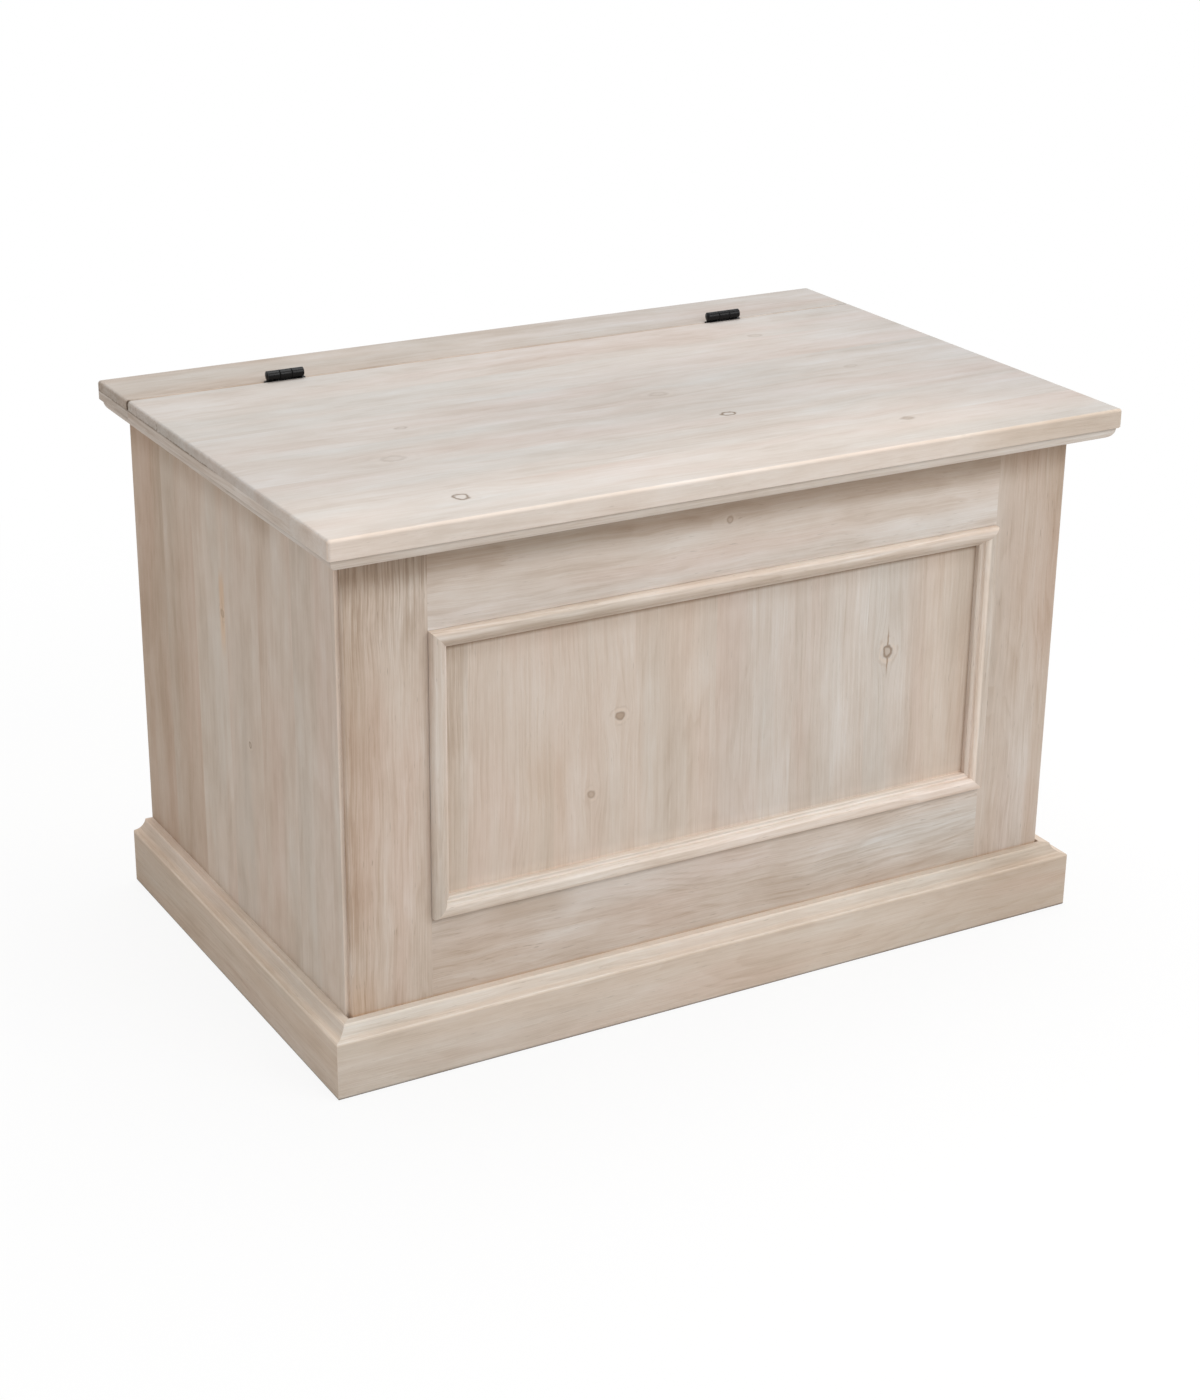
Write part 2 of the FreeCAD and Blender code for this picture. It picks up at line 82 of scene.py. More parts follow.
# Streaks along the grain: length and width in metres, noise detail and roughness, and a seed shift
HAIRS = (0.050, 0.0011, 2.0, 0.60, 0.0)
LINES = (0.15, 0.0034, 2.0, 0.55, 4.1)
STRIPES = (0.22, 0.011, 2.0, 0.55, 8.7)
BANDS = (0.55, 0.034, 1.0, 0.55, 15.2)
CLOUDS = (0.10, 0.040, 4.0, 0.62, 21.9)
BLUSH = (0.45, 0.07, 2.0, 0.55, 33.1)
FLECKS = (0.016, 0.0013, 1.5, 0.55, 31.0)
STREAK_SEED_STEPS = (11.3, 1.7, 0.6)

# Lime: the even share of bare wood, and how far each kind of streak moves it
EVEN_LIME = 0.42
HAIR_SWING = 0.62
LINE_SWING = 0.44
STRIPE_SWING = 0.34
BAND_SWING = 0.40
CLOUD_SWING = 0.80
STAVE_SWING = 0.16
RING_SWING = (0.01, 0.17)

# Tones, as factor and warmth: lime, bare wood, flecks and the parts of a knot
THICK_LIME = (1.24, -0.07)
BARE_WOOD = (0.62, 0.13)
FLECK_TONE = (0.46, 0.06)
HALO_TONE = (1.12, 0.03)
HALO_RING_TONE = (0.76, 0.05)
SPLIT_TONE = (0.36, 0.30)
HEART_TONE = (0.50, 0.16)
KNOT_RIM_TONE = (0.30, 0.24)

# Knots: waves of the ragged edge to the metre and how far they swing it, then where the heart ends, and the
# rings as radius and half width, all in knot radii
KNOT_EDGE = (150.0, 0.8)
HEART = (0.7, 1.05)
KNOT_RIM = (0.95, 0.42)
HALO = (1.7, 0.6)
HALO_RING = (2.4, 0.5)

# Slow tints along a board, and the share of tints and flecks
WARM_TINT = (1.0, 0.945, 0.93)
COOL_TINT = (0.95, 0.985, 1.0)
TINT_SHARE = 0.75
FLECK_SHARE = 0.60

# Where a patchy stain breaks up, and how far a face must look along an axis to be stained
PATCH_EDGE = (0.42, 0.56)
FACING_EDGE = (0.60, 0.90)

# Surface of the wood: roughness under lime and bare, gloss, and relief of the open grain
WOOD_ROUGHNESS = (0.66, 0.80)
WOOD_GLOSS = 0.28
WOOD_RELIEF = 0.30
WOOD_RELIEF_DEPTH = 0.0007

# Enamel of the hinges: speckle and wear as waves to the metre and noise detail, then roughness, gloss and
# relief
SPECKLE = (420.0, 4.0)
WEAR = (90.0, 3.0)
ENAMEL_ROUGHNESS = (0.18, 0.32)
ENAMEL_GLOSS = 0.21
ENAMEL_RELIEF = 0.6
ENAMEL_RELIEF_DEPTH = 0.0006

# From the middle of a hinge to where its knuckles meet, and half the width of the painted shade line there
KNUCKLE_GAP = 0.00683
KNUCKLE_LINE = (0.0002, 0.0009)

# Studio: places of the lamps and their targets, the lamps' size, and the floor's tones and pale edge
KEY_LAMP = ((1.6, -3.2, 2.6), (0.0, -0.1, 0.3))
TOP_LAMP = ((0.3, 0.4, 3.2), (0.0, 0.0, 0.3))
LAMP_SIZE = (2.6, 2.2)
FLOOR_TONES = ((0.90, 0.90, 0.90), (0.92, 0.92, 0.92))
FLOOR_FADE = (0.8, 1.6)

# Camera of the photograph
FRAME_PIXELS_HIGH = 1400
FOCAL_PIXELS = 2680.8
SENSOR_HEIGHT_MM = 36.0
CAMERA_AZIMUTH = math.radians(-29.909)
CAMERA_ELEVATION = math.radians(22.434)
CAMERA_ROLL = math.radians(-0.6905)
CAMERA_PLACE = Vector((-1.3546, -2.3523, 1.3565))


# Properties

class ChestFinish(bpy.types.PropertyGroup):
    """Colours and grain of the limed wood."""
    top_colour: bpy.props.FloatVectorProperty(
        name="Top", description="Limed wood of the lid and the hinge rail", subtype="COLOR",
        size=3, min=0.0, max=1.0, default=(0.519, 0.470, 0.430))
    front_colour: bpy.props.FloatVectorProperty(
        name="Front", description="Limed wood of the frame and the panel", subtype="COLOR",
        size=3, min=0.0, max=1.0, default=(0.620, 0.535, 0.465))
    side_colour: bpy.props.FloatVectorProperty(
        name="Sides", description="Limed wood of the side boards", subtype="COLOR",
        size=3, min=0.0, max=1.0, default=(0.600, 0.490, 0.400))
    moulding_colour: bpy.props.FloatVectorProperty(
        name="Mouldings", description="Limed wood of the panel moulding and the rim", subtype="COLOR",
        size=3, min=0.0, max=1.0, default=(0.700, 0.610, 0.530))
    plinth_colour: bpy.props.FloatVectorProperty(
        name="Plinth", description="Limed wood of the plinth", subtype="COLOR",
        size=3, min=0.0, max=1.0, default=(0.620, 0.520, 0.430))
    inner_colour: bpy.props.FloatVectorProperty(
        name="Inside", description="Bare wood of the floor, the back and the cleats", subtype="COLOR",
        size=3, min=0.0, max=1.0, default=(0.62, 0.50, 0.37))
    ring_spacing: bpy.props.FloatProperty(
        name="Ring spacing", description="Mean distance between growth rings", unit="LENGTH",
        min=0.001, max=0.02, default=0.0042)
    grain_contrast: bpy.props.FloatProperty(
        name="Grain contrast", description="How dark the grain shows through the liming", subtype="FACTOR",
        min=0.0, max=1.0, default=0.5)
    hinge_colour: bpy.props.FloatVectorProperty(
        name="Hinges", description="Enamel of the hinges", subtype="COLOR",
        size=3, min=0.0, max=1.0, default=(0.0025, 0.0025, 0.003))


class ChestStudio(bpy.types.PropertyGroup):
    """Floor, lamps and camera."""
    floor_size: bpy.props.FloatProperty(
        name="Floor size", description="Side of the floor", unit="LENGTH", min=2.0, max=60.0, default=40.0)
    floor_white: bpy.props.FloatProperty(
        name="Floor white", description="Share of plain white in the floor that the camera sees",
        subtype="FACTOR", min=0.0, max=1.0, default=0.88)
    world_level: bpy.props.FloatProperty(
        name="Room level", description="Strength of the even light from all around",
        min=0.0, max=5.0, default=0.70)
    key_power: bpy.props.FloatProperty(
        name="Key lamp", description="Power of the large lamp in front on the right", subtype="POWER",
        min=0.0, max=2000.0, default=57.0)
    top_power: bpy.props.FloatProperty(
        name="Top lamp", description="Power of the large lamp overhead", subtype="POWER",
        min=0.0, max=2000.0, default=55.0)


# Node helpers

def feed(tree, socket, term):
    if isinstance(term, bpy.types.NodeSocket):
        tree.links.new(term, socket)
    else:
        socket.default_value = term


def compute(tree, operation, *terms):
    node = tree.nodes.new("ShaderNodeMath")
    node.operation = operation
    for socket, term in zip(node.inputs, terms):
        feed(tree, socket, term)
    return node.outputs[0]


def total(tree, *terms):
    result = terms[0]
    for term in terms[1:]:
        result = compute(tree, "ADD", result, term)
    return result


def remap(tree, value, low, high, new_low=0.0, new_high=1.0):
    node = tree.nodes.new("ShaderNodeMapRange")
    node.interpolation_type = "SMOOTHSTEP"
    for socket, term in zip(node.inputs, (value, low, high, new_low, new_high)):
        feed(tree, socket, term)
    return node.outputs[0]


def blended(tree, share, first, second, mode="MIX"):
    node = tree.nodes.new("ShaderNodeMix")
    node.data_type = "RGBA"
    node.blend_type = mode
    node.clamp_factor = True
    node.clamp_result = True
    feed(tree, node.inputs["Factor"], share)
    for socket, term in zip((node.inputs[6], node.inputs[7]), (first, second)):
        feed(tree, socket, term if isinstance(term, bpy.types.NodeSocket) else (*term, 1.0))
    return node.outputs[2]


def joined(tree, x, y, z):
    node = tree.nodes.new("ShaderNodeCombineXYZ")
    for socket, term in zip(node.inputs, (x, y, z)):
        feed(tree, socket, term)
    return node.outputs[0]


def noise(tree, place, detail=2.0, roughness=0.5):
    node = tree.nodes.new("ShaderNodeTexNoise")
    feed(tree, node.inputs["Vector"], place)
    node.inputs["Scale"].default_value = 1.0
    node.inputs["Detail"].default_value = detail
    node.inputs["Roughness"].default_value = roughness
    node.inputs["Distortion"].default_value = 0.0
    return node.outputs["Fac"]


def distance(tree, x, y):
    squares = total(tree, compute(tree, "MULTIPLY", x, x), compute(tree, "MULTIPLY", y, y))
    return compute(tree, "SQRT", squares)


def new_material(name):
    material = bpy.data.materials.new(name)
    material.use_nodes = True
    tree = material.node_tree
    tree.nodes.clear()
    output = tree.nodes.new("ShaderNodeOutputMaterial")
    shader = tree.nodes.new("ShaderNodeBsdfPrincipled")
    tree.links.new(shader.outputs[0], output.inputs["Surface"])
    return material, tree, shader


def raise_surface(tree, shader, height, strength, depth):
    """Fine relief in the surface, up to the given depth in metres."""
    bump = tree.nodes.new("ShaderNodeBump")
    bump.inputs["Strength"].default_value = strength
    bump.inputs["Distance"].default_value = depth
    feed(tree, bump.inputs["Height"], height)
    tree.links.new(bump.outputs[0], shader.inputs["Normal"])


def tone(colour, factor, warmth=0.0):
    """The colour darkened or lightened by a factor, with red raised and blue lowered by the warmth."""
    return tuple(min(1.0, channel * factor * (1.0 + share * warmth))
                 for channel, share in zip(colour, (1.0, 0.0, -1.0)))


# Limed wood

class Board:
    """Where a board lies and how its tree grew."""

    def __init__(self, node, axes, seed, pith=(0.0, -0.09), knots=(), staves=None, wave=0.010):
        self.low, self.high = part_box(node)
        self.axes = axes
        self.seed = seed
        self.pith = pith
        self.knots = knots
        self.staves = staves
        self.wave = wave

    def middle(self, index):
        axis = self.axes[index]
        return (self.low[axis] + self.high[axis]) / 2


class Knot:
    """A knot at a place along and across the board. Marks run from 0 to 1."""

    def __init__(self, along, across, radius, rim=0.6, heart=0.3, tail=0.0, reach=0.03, halo=0.3,
                 length=1.0):
        self.along = along
        self.across = across
        self.radius = radius
        self.rim = rim
        self.heart = heart
        self.tail = tail
        self.reach = reach
        self.halo = halo
        self.length = length


class StainOrPaintedLight:
    """A darker or paler patch. Some are marks the wood has, others painted shade and painted highlights. Each
    ramp is an axis, where the patch starts and where it is full.

    Strength is how much of it shows. Factor and warmth change the colour below it, as in tone. A patchy one
    follows the grain's clouds, and one with a facing lies only on faces that look along that axis.
    """

    def __init__(self, ramps, strength, factor, warmth=0.0, patchy=False, facing=None):
        self.ramps = ramps
        self.strength = strength
        self.gain = (factor * (1.0 + warmth), factor, factor * (1.0 - warmth))
        self.patchy = patchy
        self.facing = facing


def split(tree, source, output):
    parts = tree.nodes.new("ShaderNodeSeparateXYZ")
    tree.links.new(source.outputs[output], parts.inputs[0])
    return list(parts.outputs)


def drawn_noise(tree, places, per_along, per_across, seed, detail):
    """Noise with so many waves to the metre along the grain and across it."""
    along, across, through = places
    return noise(tree, joined(tree, compute(tree, "MULTIPLY_ADD", along, per_along, seed),
                              compute(tree, "MULTIPLY", across, per_across),
                              compute(tree, "MULTIPLY", through, per_across)), detail=detail)


def grain_places(tree, board, source):
    """Sockets along the grain, across the board and through it, waved, and bent around the knots."""
    sockets = split(tree, source, "Object")
    places = [sockets[axis] for axis in board.axes]
    along, across, through = places
    bent = across
    for per_along, per_across, detail, seed_step, share in (SLOW_WAVE, QUICK_WAVE):
        wave = drawn_noise(tree, places, per_along, per_across, board.seed * seed_step, detail)
        bent = compute(tree, "ADD", bent, compute(tree, "MULTIPLY", wave, board.wave * share))
    for knot in board.knots:
        step_along = compute(tree, "SUBTRACT", along, knot.along)
        step_across = compute(tree, "SUBTRACT", across, knot.across)
        away = distance(tree, compute(tree, "MULTIPLY", step_along, BEND_STRETCH), step_across)
        reach = compute(tree, "DIVIDE", away, knot.radius * BEND_REACH)
        squared = compute(tree, "MULTIPLY", reach, reach)
        push = compute(tree, "EXPONENT", compute(tree, "MULTIPLY", squared, -1.0))
        bent = compute(tree, "SUBTRACT", bent,
                       compute(tree, "MULTIPLY", compute(tree, "MULTIPLY", step_across, push), BEND_SHARE))
    return along, bent, through


def growth_rings(tree, board, places, spacing):
    """Latewood lines: 0 in the pale wood, 1 in the dark line of each ring."""
    across, through = places[1:]
    aside = compute(tree, "SUBTRACT", across, board.middle(1) + board.pith[0])
    depth = compute(tree, "SUBTRACT", through, board.middle(2) + board.pith[1])
    seed = board.seed * RING_SEED_STEP
    radius = distance(tree, aside, depth)
    for per_along, per_across, detail, metres in (RING_DRIFT, RING_RIPPLE):
        wander = drawn_noise(tree, places, per_along, per_across, seed, detail)
        radius = compute(tree, "ADD", radius, compute(tree, "MULTIPLY", wander, metres))
    often, spacings = UNEVEN_RINGS
    uneven = noise(tree, joined(tree, compute(tree, "MULTIPLY", radius, often), seed, 0.0), detail=2.0)
    radius = compute(tree, "MULTIPLY_ADD", uneven, spacing * spacings, radius)
    phase = compute(tree, "FRACT", compute(tree, "DIVIDE", radius, spacing))
    rise = remap(tree, phase, *DARK_LINE_RISE)
    fall = remap(tree, phase, *DARK_LINE_FALL, 1.0, 0.0)
    return compute(tree, "MULTIPLY", rise, fall)


def streaks(tree, board, places, length, width, detail, roughness, shift):
    """Noise drawn out along the grain, of about the given length and width in metres."""
    along, across, through = places
    along_step, across_step, through_step = STREAK_SEED_STEPS
    seed = board.seed * along_step + shift
    return noise(tree, joined(tree, compute(tree, "MULTIPLY_ADD", along, 1.0 / length, seed),
                              compute(tree, "MULTIPLY_ADD", across, 1.0 / width, seed * across_step),
                              compute(tree, "MULTIPLY_ADD", through, 1.0 / width, seed * through_step)),
                 detail, roughness)


def swing(tree, value, amount):
    """A noise value as a swing to both sides of nothing."""
    return compute(tree, "MULTIPLY", compute(tree, "SUBTRACT", value, 0.5), amount)


def circle(tree, spread, radius, width, strength):
    """A soft ring around a knot, with its radius and half its width in knot radii."""
    off = compute(tree, "ABSOLUTE", compute(tree, "SUBTRACT", spread, radius))
    return remap(tree, off, 0.0, width, strength, 0.0)


def mark_knot(tree, board, knot, source, shade, colour):
    """Paints one knot: heart, dark rim, halo, and the split that runs out of it along the grain."""
    places = split(tree, source, "Object")
    along, across = places[board.axes[0]], places[board.axes[1]]
    step_along = compute(tree, "SUBTRACT", along, knot.along)
    step_across = compute(tree, "SUBTRACT", across, knot.across)
    often, ragged = KNOT_EDGE
    rough = noise(tree, joined(tree, compute(tree, "MULTIPLY", along, often),
                               compute(tree, "MULTIPLY", across, often), board.seed), detail=1.0)
    away = distance(tree, compute(tree, "DIVIDE", step_along, knot.length), step_across)
    spread = compute(tree, "ADD", compute(tree, "DIVIDE", away, knot.radius), swing(tree, rough, ragged))
    if knot.halo:
        broken = noise(tree, joined(tree, compute(tree, "MULTIPLY", along, 90.0),
                                    compute(tree, "MULTIPLY", across, 140.0), board.seed * 3.0), detail=2.0)
        halo = remap(tree, broken, 0.42, 0.60, 0.0, knot.halo)
        shade = blended(tree, circle(tree, spread, *HALO, halo), shade, tone(colour, *HALO_TONE))
        shade = blended(tree, circle(tree, spread, *HALO_RING, halo), shade, tone(colour, *HALO_RING_TONE))
    if knot.tail:
        off_line = compute(tree, "ABSOLUTE", compute(tree, "ADD", step_across, swing(tree, rough, 0.0018)))
        far = compute(tree, "ABSOLUTE", step_along)
        split_line = compute(tree, "MULTIPLY", remap(tree, off_line, 0.0003, 0.0014, knot.tail, 0.0),
                             remap(tree, far, knot.reach * 0.35, knot.reach, 1.0, 0.0))
        split_line = compute(tree, "MULTIPLY", split_line, remap(tree, spread, 0.9, 1.3))
        shade = blended(tree, split_line, shade, tone(colour, *SPLIT_TONE))
    if knot.heart:
        heart = remap(tree, spread, *HEART, knot.heart, 0.0)
        shade = blended(tree, heart, shade, tone(colour, *HEART_TONE))
    return blended(tree, circle(tree, spread, *KNOT_RIM, knot.rim), shade, tone(colour, *KNOT_RIM_TONE))


def stave_shift(tree, board, places):
    """A different piece of tree for each glued stave, and its own tone."""
    along, across, through = places
    index = compute(tree, "FLOOR", compute(tree, "DIVIDE", across, board.staves))
    draw = tree.nodes.new("ShaderNodeTexWhiteNoise")
    draw.noise_dimensions = "1D"
    feed(tree, draw.inputs["W"], compute(tree, "ADD", index, board.seed + 0.5))
    shifted = compute(tree, "MULTIPLY_ADD", draw.outputs["Value"], 5.0, along)
    return (shifted, across, through), draw.outputs["Value"]


def scaled(tree, shade, gain):
    node = tree.nodes.new("ShaderNodeVectorMath")
    node.operation = "MULTIPLY"
    feed(tree, node.inputs[0], shade)
    feed(tree, node.inputs[1], gain)
    return node.outputs[0]


def lay_stain_or_painted_light(tree, stain_or_painted_light, source, clouds, shade):
    places = split(tree, source, "Object")
    share = stain_or_painted_light.strength
    for axis, start, stop in stain_or_painted_light.ramps:
        share = compute(tree, "MULTIPLY", remap(tree, places[axis], start, stop), share)
    if stain_or_painted_light.patchy:
        share = compute(tree, "MULTIPLY", share, remap(tree, clouds, *PATCH_EDGE))
    if stain_or_painted_light.facing is not None:
        share = compute(tree, "MULTIPLY", share, facing_share(tree, source, stain_or_painted_light.facing))
    return blended(tree, share, shade, scaled(tree, shade, stain_or_painted_light.gain))


def facing_share(tree, source, axis):
    """1 on the faces that look along an axis, either way."""
    return remap(tree, compute(tree, "ABSOLUTE", split(tree, source, "Normal")[axis]), *FACING_EDGE)


def lime_ramp(tree, share, colour):
    """From thick pale lime, through the colour itself, to bare brown wood."""
    ramp = tree.nodes.new("ShaderNodeValToRGB")
    ramp.color_ramp.interpolation = "LINEAR"
    ends = ramp.color_ramp.elements
    ends[0].position, ends[0].color = 0.05, (*tone(colour, *THICK_LIME), 1.0)
    ends[1].position, ends[1].color = 0.95, (*tone(colour, *BARE_WOOD), 1.0)
    middle = ends.new(EVEN_LIME)
    middle.color = (*colour, 1.0)
    feed(tree, ramp.inputs["Fac"], share)
    return ramp.outputs["Color"]


def limed_pine(name, board, colour, fine=1.0, broad=1.0, stains_and_painted_light=()):
    """Open-grained pine under a thin lime wax: fibres, bands, rings, tints, flecks, stained patches, painted
    light and shade, and knots.
    """
    finish = bpy.context.scene.chest_finish
    material, tree, shader = new_material(name)
    source = tree.nodes.new("ShaderNodeTexCoord")
    places = grain_places(tree, board, source)
    stave_tone = None
    if board.staves:
        places, stave_tone = stave_shift(tree, board, places)
    fine, broad = fine * finish.grain_contrast * 2.0, broad * finish.grain_contrast * 2.0

    hairs, lines, stripes, bands, clouds = [streaks(tree, board, places, *kind)
                                            for kind in (HAIRS, LINES, STRIPES, BANDS, CLOUDS)]
    late = growth_rings(tree, board, places, finish.ring_spacing)
    weak, strong = RING_SWING
    lime = total(tree, EVEN_LIME,
                 swing(tree, hairs, HAIR_SWING * fine), swing(tree, lines, LINE_SWING * fine),
                 swing(tree, stripes, STRIPE_SWING * broad), swing(tree, bands, BAND_SWING * broad),
                 swing(tree, clouds, CLOUD_SWING * broad),
                 compute(tree, "MULTIPLY", compute(tree, "SUBTRACT", late, 0.3),
                         remap(tree, stripes, 0.35, 0.7, weak * fine, strong * fine)))
    if stave_tone is not None:
        lime = compute(tree, "ADD", lime, swing(tree, stave_tone, STAVE_SWING * broad))
    shade = lime_ramp(tree, lime, colour)

    blush = streaks(tree, board, places, *BLUSH)
    for tint, full in ((WARM_TINT, 0.68), (COOL_TINT, 0.34)):
        shade = blended(tree, remap(tree, blush, 0.50, full, 0.0, TINT_SHARE), shade, tint, mode="MULTIPLY")

    flecks = remap(tree, streaks(tree, board, places, *FLECKS), 0.66, 0.80, 0.0, FLECK_SHARE * fine)
    shade = blended(tree, flecks, shade, tone(colour, *FLECK_TONE))

    patches = compute(tree, "DIVIDE", total(tree, clouds, lines, hairs), 3.0)
    for stain_or_painted_light in stains_and_painted_light:
        shade = lay_stain_or_painted_light(tree, stain_or_painted_light, source, patches, shade)
    for knot in board.knots:
        shade = mark_knot(tree, board, knot, source, shade, colour)

    feed(tree, shader.inputs["Base Color"], shade)
    feed(tree, shader.inputs["Roughness"], remap(tree, lime, 0.2, 0.7, *WOOD_ROUGHNESS))
    shader.inputs["Specular IOR Level"].default_value = WOOD_GLOSS

    grain = total(tree, swing(tree, hairs, -1.0), compute(tree, "MULTIPLY", late, -0.35),
                  swing(tree, lines, -0.8))
    raise_surface(tree, shader, grain, WOOD_RELIEF, WOOD_RELIEF_DEPTH)
    return material


def dress(node, material):
    """Gives a piece of the frame its finish."""
    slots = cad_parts[node].data.materials
    slots.clear()
    slots.append(material)


def finish_board(node, axes, seed, colour, fine=1.0, broad=1.0, stains_and_painted_light=(), **growth):
    board = Board(node, axes, seed, **growth)
    dress(node, limed_pine("limed_" + node, board, colour, fine, broad, stains_and_painted_light))


def seam_place():
    """The middle of the gap between lid and hinge rail, across the chest."""
    return (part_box("lid_board_6")[1].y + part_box("hinge_rail")[0].y) / 2


def seam_stain(side):
    """Paler, warmer faces looking along Y at the edge of the gap, on the lid's side (-1) or the rail's side
    (1).
    """
    edge = seam_place() + side * 0.0012
    reach = CAD_BOX[1][0] - 0.012
    return StainOrPaintedLight([(Y, edge + side * 0.002, edge + side * 0.0005), (X, -reach, 0.004 - reach),
                  (X, reach, reach - 0.004)], 0.9, 1.40, 0.12, facing=Y)


def front_edge_tones_and_highlight():
    """The front edge of the lid is paler, a little darker towards the right end, with a painted highlight
    along its upper arris.
    """
    front, top = CAD_BOX[0][1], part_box("hinge_rail")[1].z
    face = StainOrPaintedLight([(Y, front + 0.004, front + 0.001)], 1.0, 1.13, 0.03)
    dull = StainOrPaintedLight([(Y, front + 0.004, front + 0.001), (X, 0.20, 0.36)], 1.0, 0.90, 0.07)
    # Painted highlight along the arris between the front edge and the top
    arris_highlight = StainOrPaintedLight([(Y, front + 0.0040, front + 0.0015), (Z, top - 0.0040, top - 0.0015)], 0.9, 1.18, 0.01)
    return [face, dull, arris_highlight]


def end_stains():
    """Grime on the left end of the top, thicker towards the rear, in the seam and in the joints."""
    seam, end = seam_place(), CAD_BOX[0][0]
    top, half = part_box("hinge_rail")[1].z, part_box("lid_left_lipping")[1].z
    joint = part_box("lid_board_6")[0].y
    on_end = (X, end + 0.006, end + 0.001)
    return [
        StainOrPaintedLight([on_end], 1.0, 1.04, 0.045, facing=X),
        StainOrPaintedLight([on_end, (Y, -0.14, 0.16)], 0.5, 0.82, 0.02, facing=X),
        StainOrPaintedLight([on_end, (Y, -0.06, seam)], 0.6, 0.72, 0.05, patchy=True, facing=X),
        StainOrPaintedLight([on_end, (Z, half - 0.0012, half - 0.0002), (Z, half + 0.0016, half + 0.0004),
               (Y, -0.055, -0.01)], 0.85, 0.30, 0.20, patchy=True),
        StainOrPaintedLight([on_end, (Z, half, half + 0.001), (Y, seam - 0.0035, seam - 0.0015),
               (Y, seam + 0.0035, seam + 0.0015)], 0.85, 0.18, 0.30),
        StainOrPaintedLight([on_end, (Z, half, half + 0.001), (Z, top, top - 0.004), (Y, joint - 0.0024, joint - 0.0006),
               (Y, joint + 0.0024, joint + 0.0006)], 0.60, 0.30, 0.20, patchy=True),
    ]


# Operators, one for each piece or group of like pieces

class CHEST_OT_lid_boards(bpy.types.Operator):
    """Finish the lid boards, with the knots of each"""
    bl_idname = "chest.lid_boards"
    bl_label = "Lid boards"

    def execute(self, context):
        colour = tuple(context.scene.chest_finish.top_colour)
        knots = {
            1: (Knot(-0.289, -0.2368, 0.0080, rim=0.85, heart=0.0, halo=0.1, length=0.9),
                Knot(0.2307, -0.2190, 0.0055, rim=0.20, heart=0.55, halo=0.1, length=1.4)),
            3: (Knot(0.0765, -0.1205, 0.0055, rim=0.95, heart=0.0, halo=0.0, length=1.5),
                Knot(-0.2934, -0.1014, 0.0080, rim=0.20, heart=0.10, halo=0.15, length=1.4)),
            4: (Knot(0.0490, -0.0256, 0.0060, rim=0.20, heart=0.15, halo=0.1, length=1.6),
                Knot(-0.2420, -0.0123, 0.0035, rim=0.35, heart=0.20, halo=0.0, length=1.8),
                Knot(0.2933, -0.0261, 0.0040, rim=0.20, heart=0.10, halo=0.0, length=2.0)),
            6: (Knot(0.2697, 0.1300, 0.0050, rim=0.25, heart=0.10, halo=0.0, length=1.6),),
        }
        tones = (1.01, 0.99, 0.98, 0.975, 1.0, 1.0)
        piths = ((0.03, -0.07), (-0.06, -0.12), (0.01, -0.06), (0.05, -0.10), (-0.02, -0.08), (0.04, -0.11))
        broad = [
            # Painted light: the front of the top paler, less so towards the right end
            StainOrPaintedLight([(Y, -0.13, -0.26), (X, 0.42, 0.22)], 1.0, 1.11, 0.01),
            StainOrPaintedLight([(X, -0.28, -0.05), (X, 0.38, 0.15), (Y, -0.16, -0.08), (Y, 0.12, 0.04)],
                  1.0, 0.955, -0.012),
            StainOrPaintedLight([(X, 0.22, 0.44), (Y, -0.26, -0.14)], 1.0, 0.94, -0.02),
            StainOrPaintedLight([(X, -0.32, -0.42), (Y, -0.10, -0.22)], 1.0, 1.05, 0.0),
        ]
        for index, (share, pith) in enumerate(zip(tones, piths), start=1):
            stains_and_painted_light = broad + end_stains()
            if index == 1:
                stains_and_painted_light += front_edge_tones_and_highlight()
            if index == len(tones):
                stains_and_painted_light.append(seam_stain(-1))
            finish_board("lid_board_%d" % index, ALONG_X_FLAT, index * 1.31, tone(colour, share), fine=0.42,
                         broad=0.72, stains_and_painted_light=stains_and_painted_light, pith=pith, knots=knots.get(index, ()), wave=0.016)
        return {"FINISHED"}


class CHEST_OT_hinge_rail(bpy.types.Operator):
    """Finish the fixed rail behind the lid, darker along the seam"""
    bl_idname = "chest.hinge_rail"
    bl_label = "Hinge rail"

    def execute(self, context):
        colour = tone(tuple(context.scene.chest_finish.top_colour), 0.92, 0.015)
        near = seam_place()
        broad = [
            StainOrPaintedLight([(Y, near + 0.032, near + 0.010)], 1.0, 0.90, 0.03),
            StainOrPaintedLight([(X, 0.10, -0.30)], 1.0, 0.96, 0.02),
            StainOrPaintedLight([(X, -0.05, 0.25)], 1.0, 1.0, -0.03),
            StainOrPaintedLight([(Y, near + 0.007, near + 0.002)], 0.5, 0.78, 0.05, patchy=True),
        ]
        finish_board("hinge_rail", ALONG_X_FLAT, 9.2, colour, fine=0.5, broad=0.8,
                     stains_and_painted_light=broad + [seam_stain(1)] + end_stains(), pith=(0.02, -0.09), wave=0.014)
        return {"FINISHED"}


class CHEST_OT_lippings(bpy.types.Operator):
    """Finish the strips let in under the ends of the top"""
    bl_idname = "chest.lippings"
    bl_label = "Lippings"

    def execute(self, context):
        colour = tone(tuple(context.scene.chest_finish.top_colour), 1.14, 0.01)
        for seed, node in enumerate(("lid_left_lipping", "lid_right_lipping",
                                     "rail_left_lipping", "rail_right_lipping"), start=12):
            finish_board(node, ALONG_Y_FLAT, seed * 1.7, colour, fine=0.8, broad=0.8, stains_and_painted_light=end_stains())
        return {"FINISHED"}


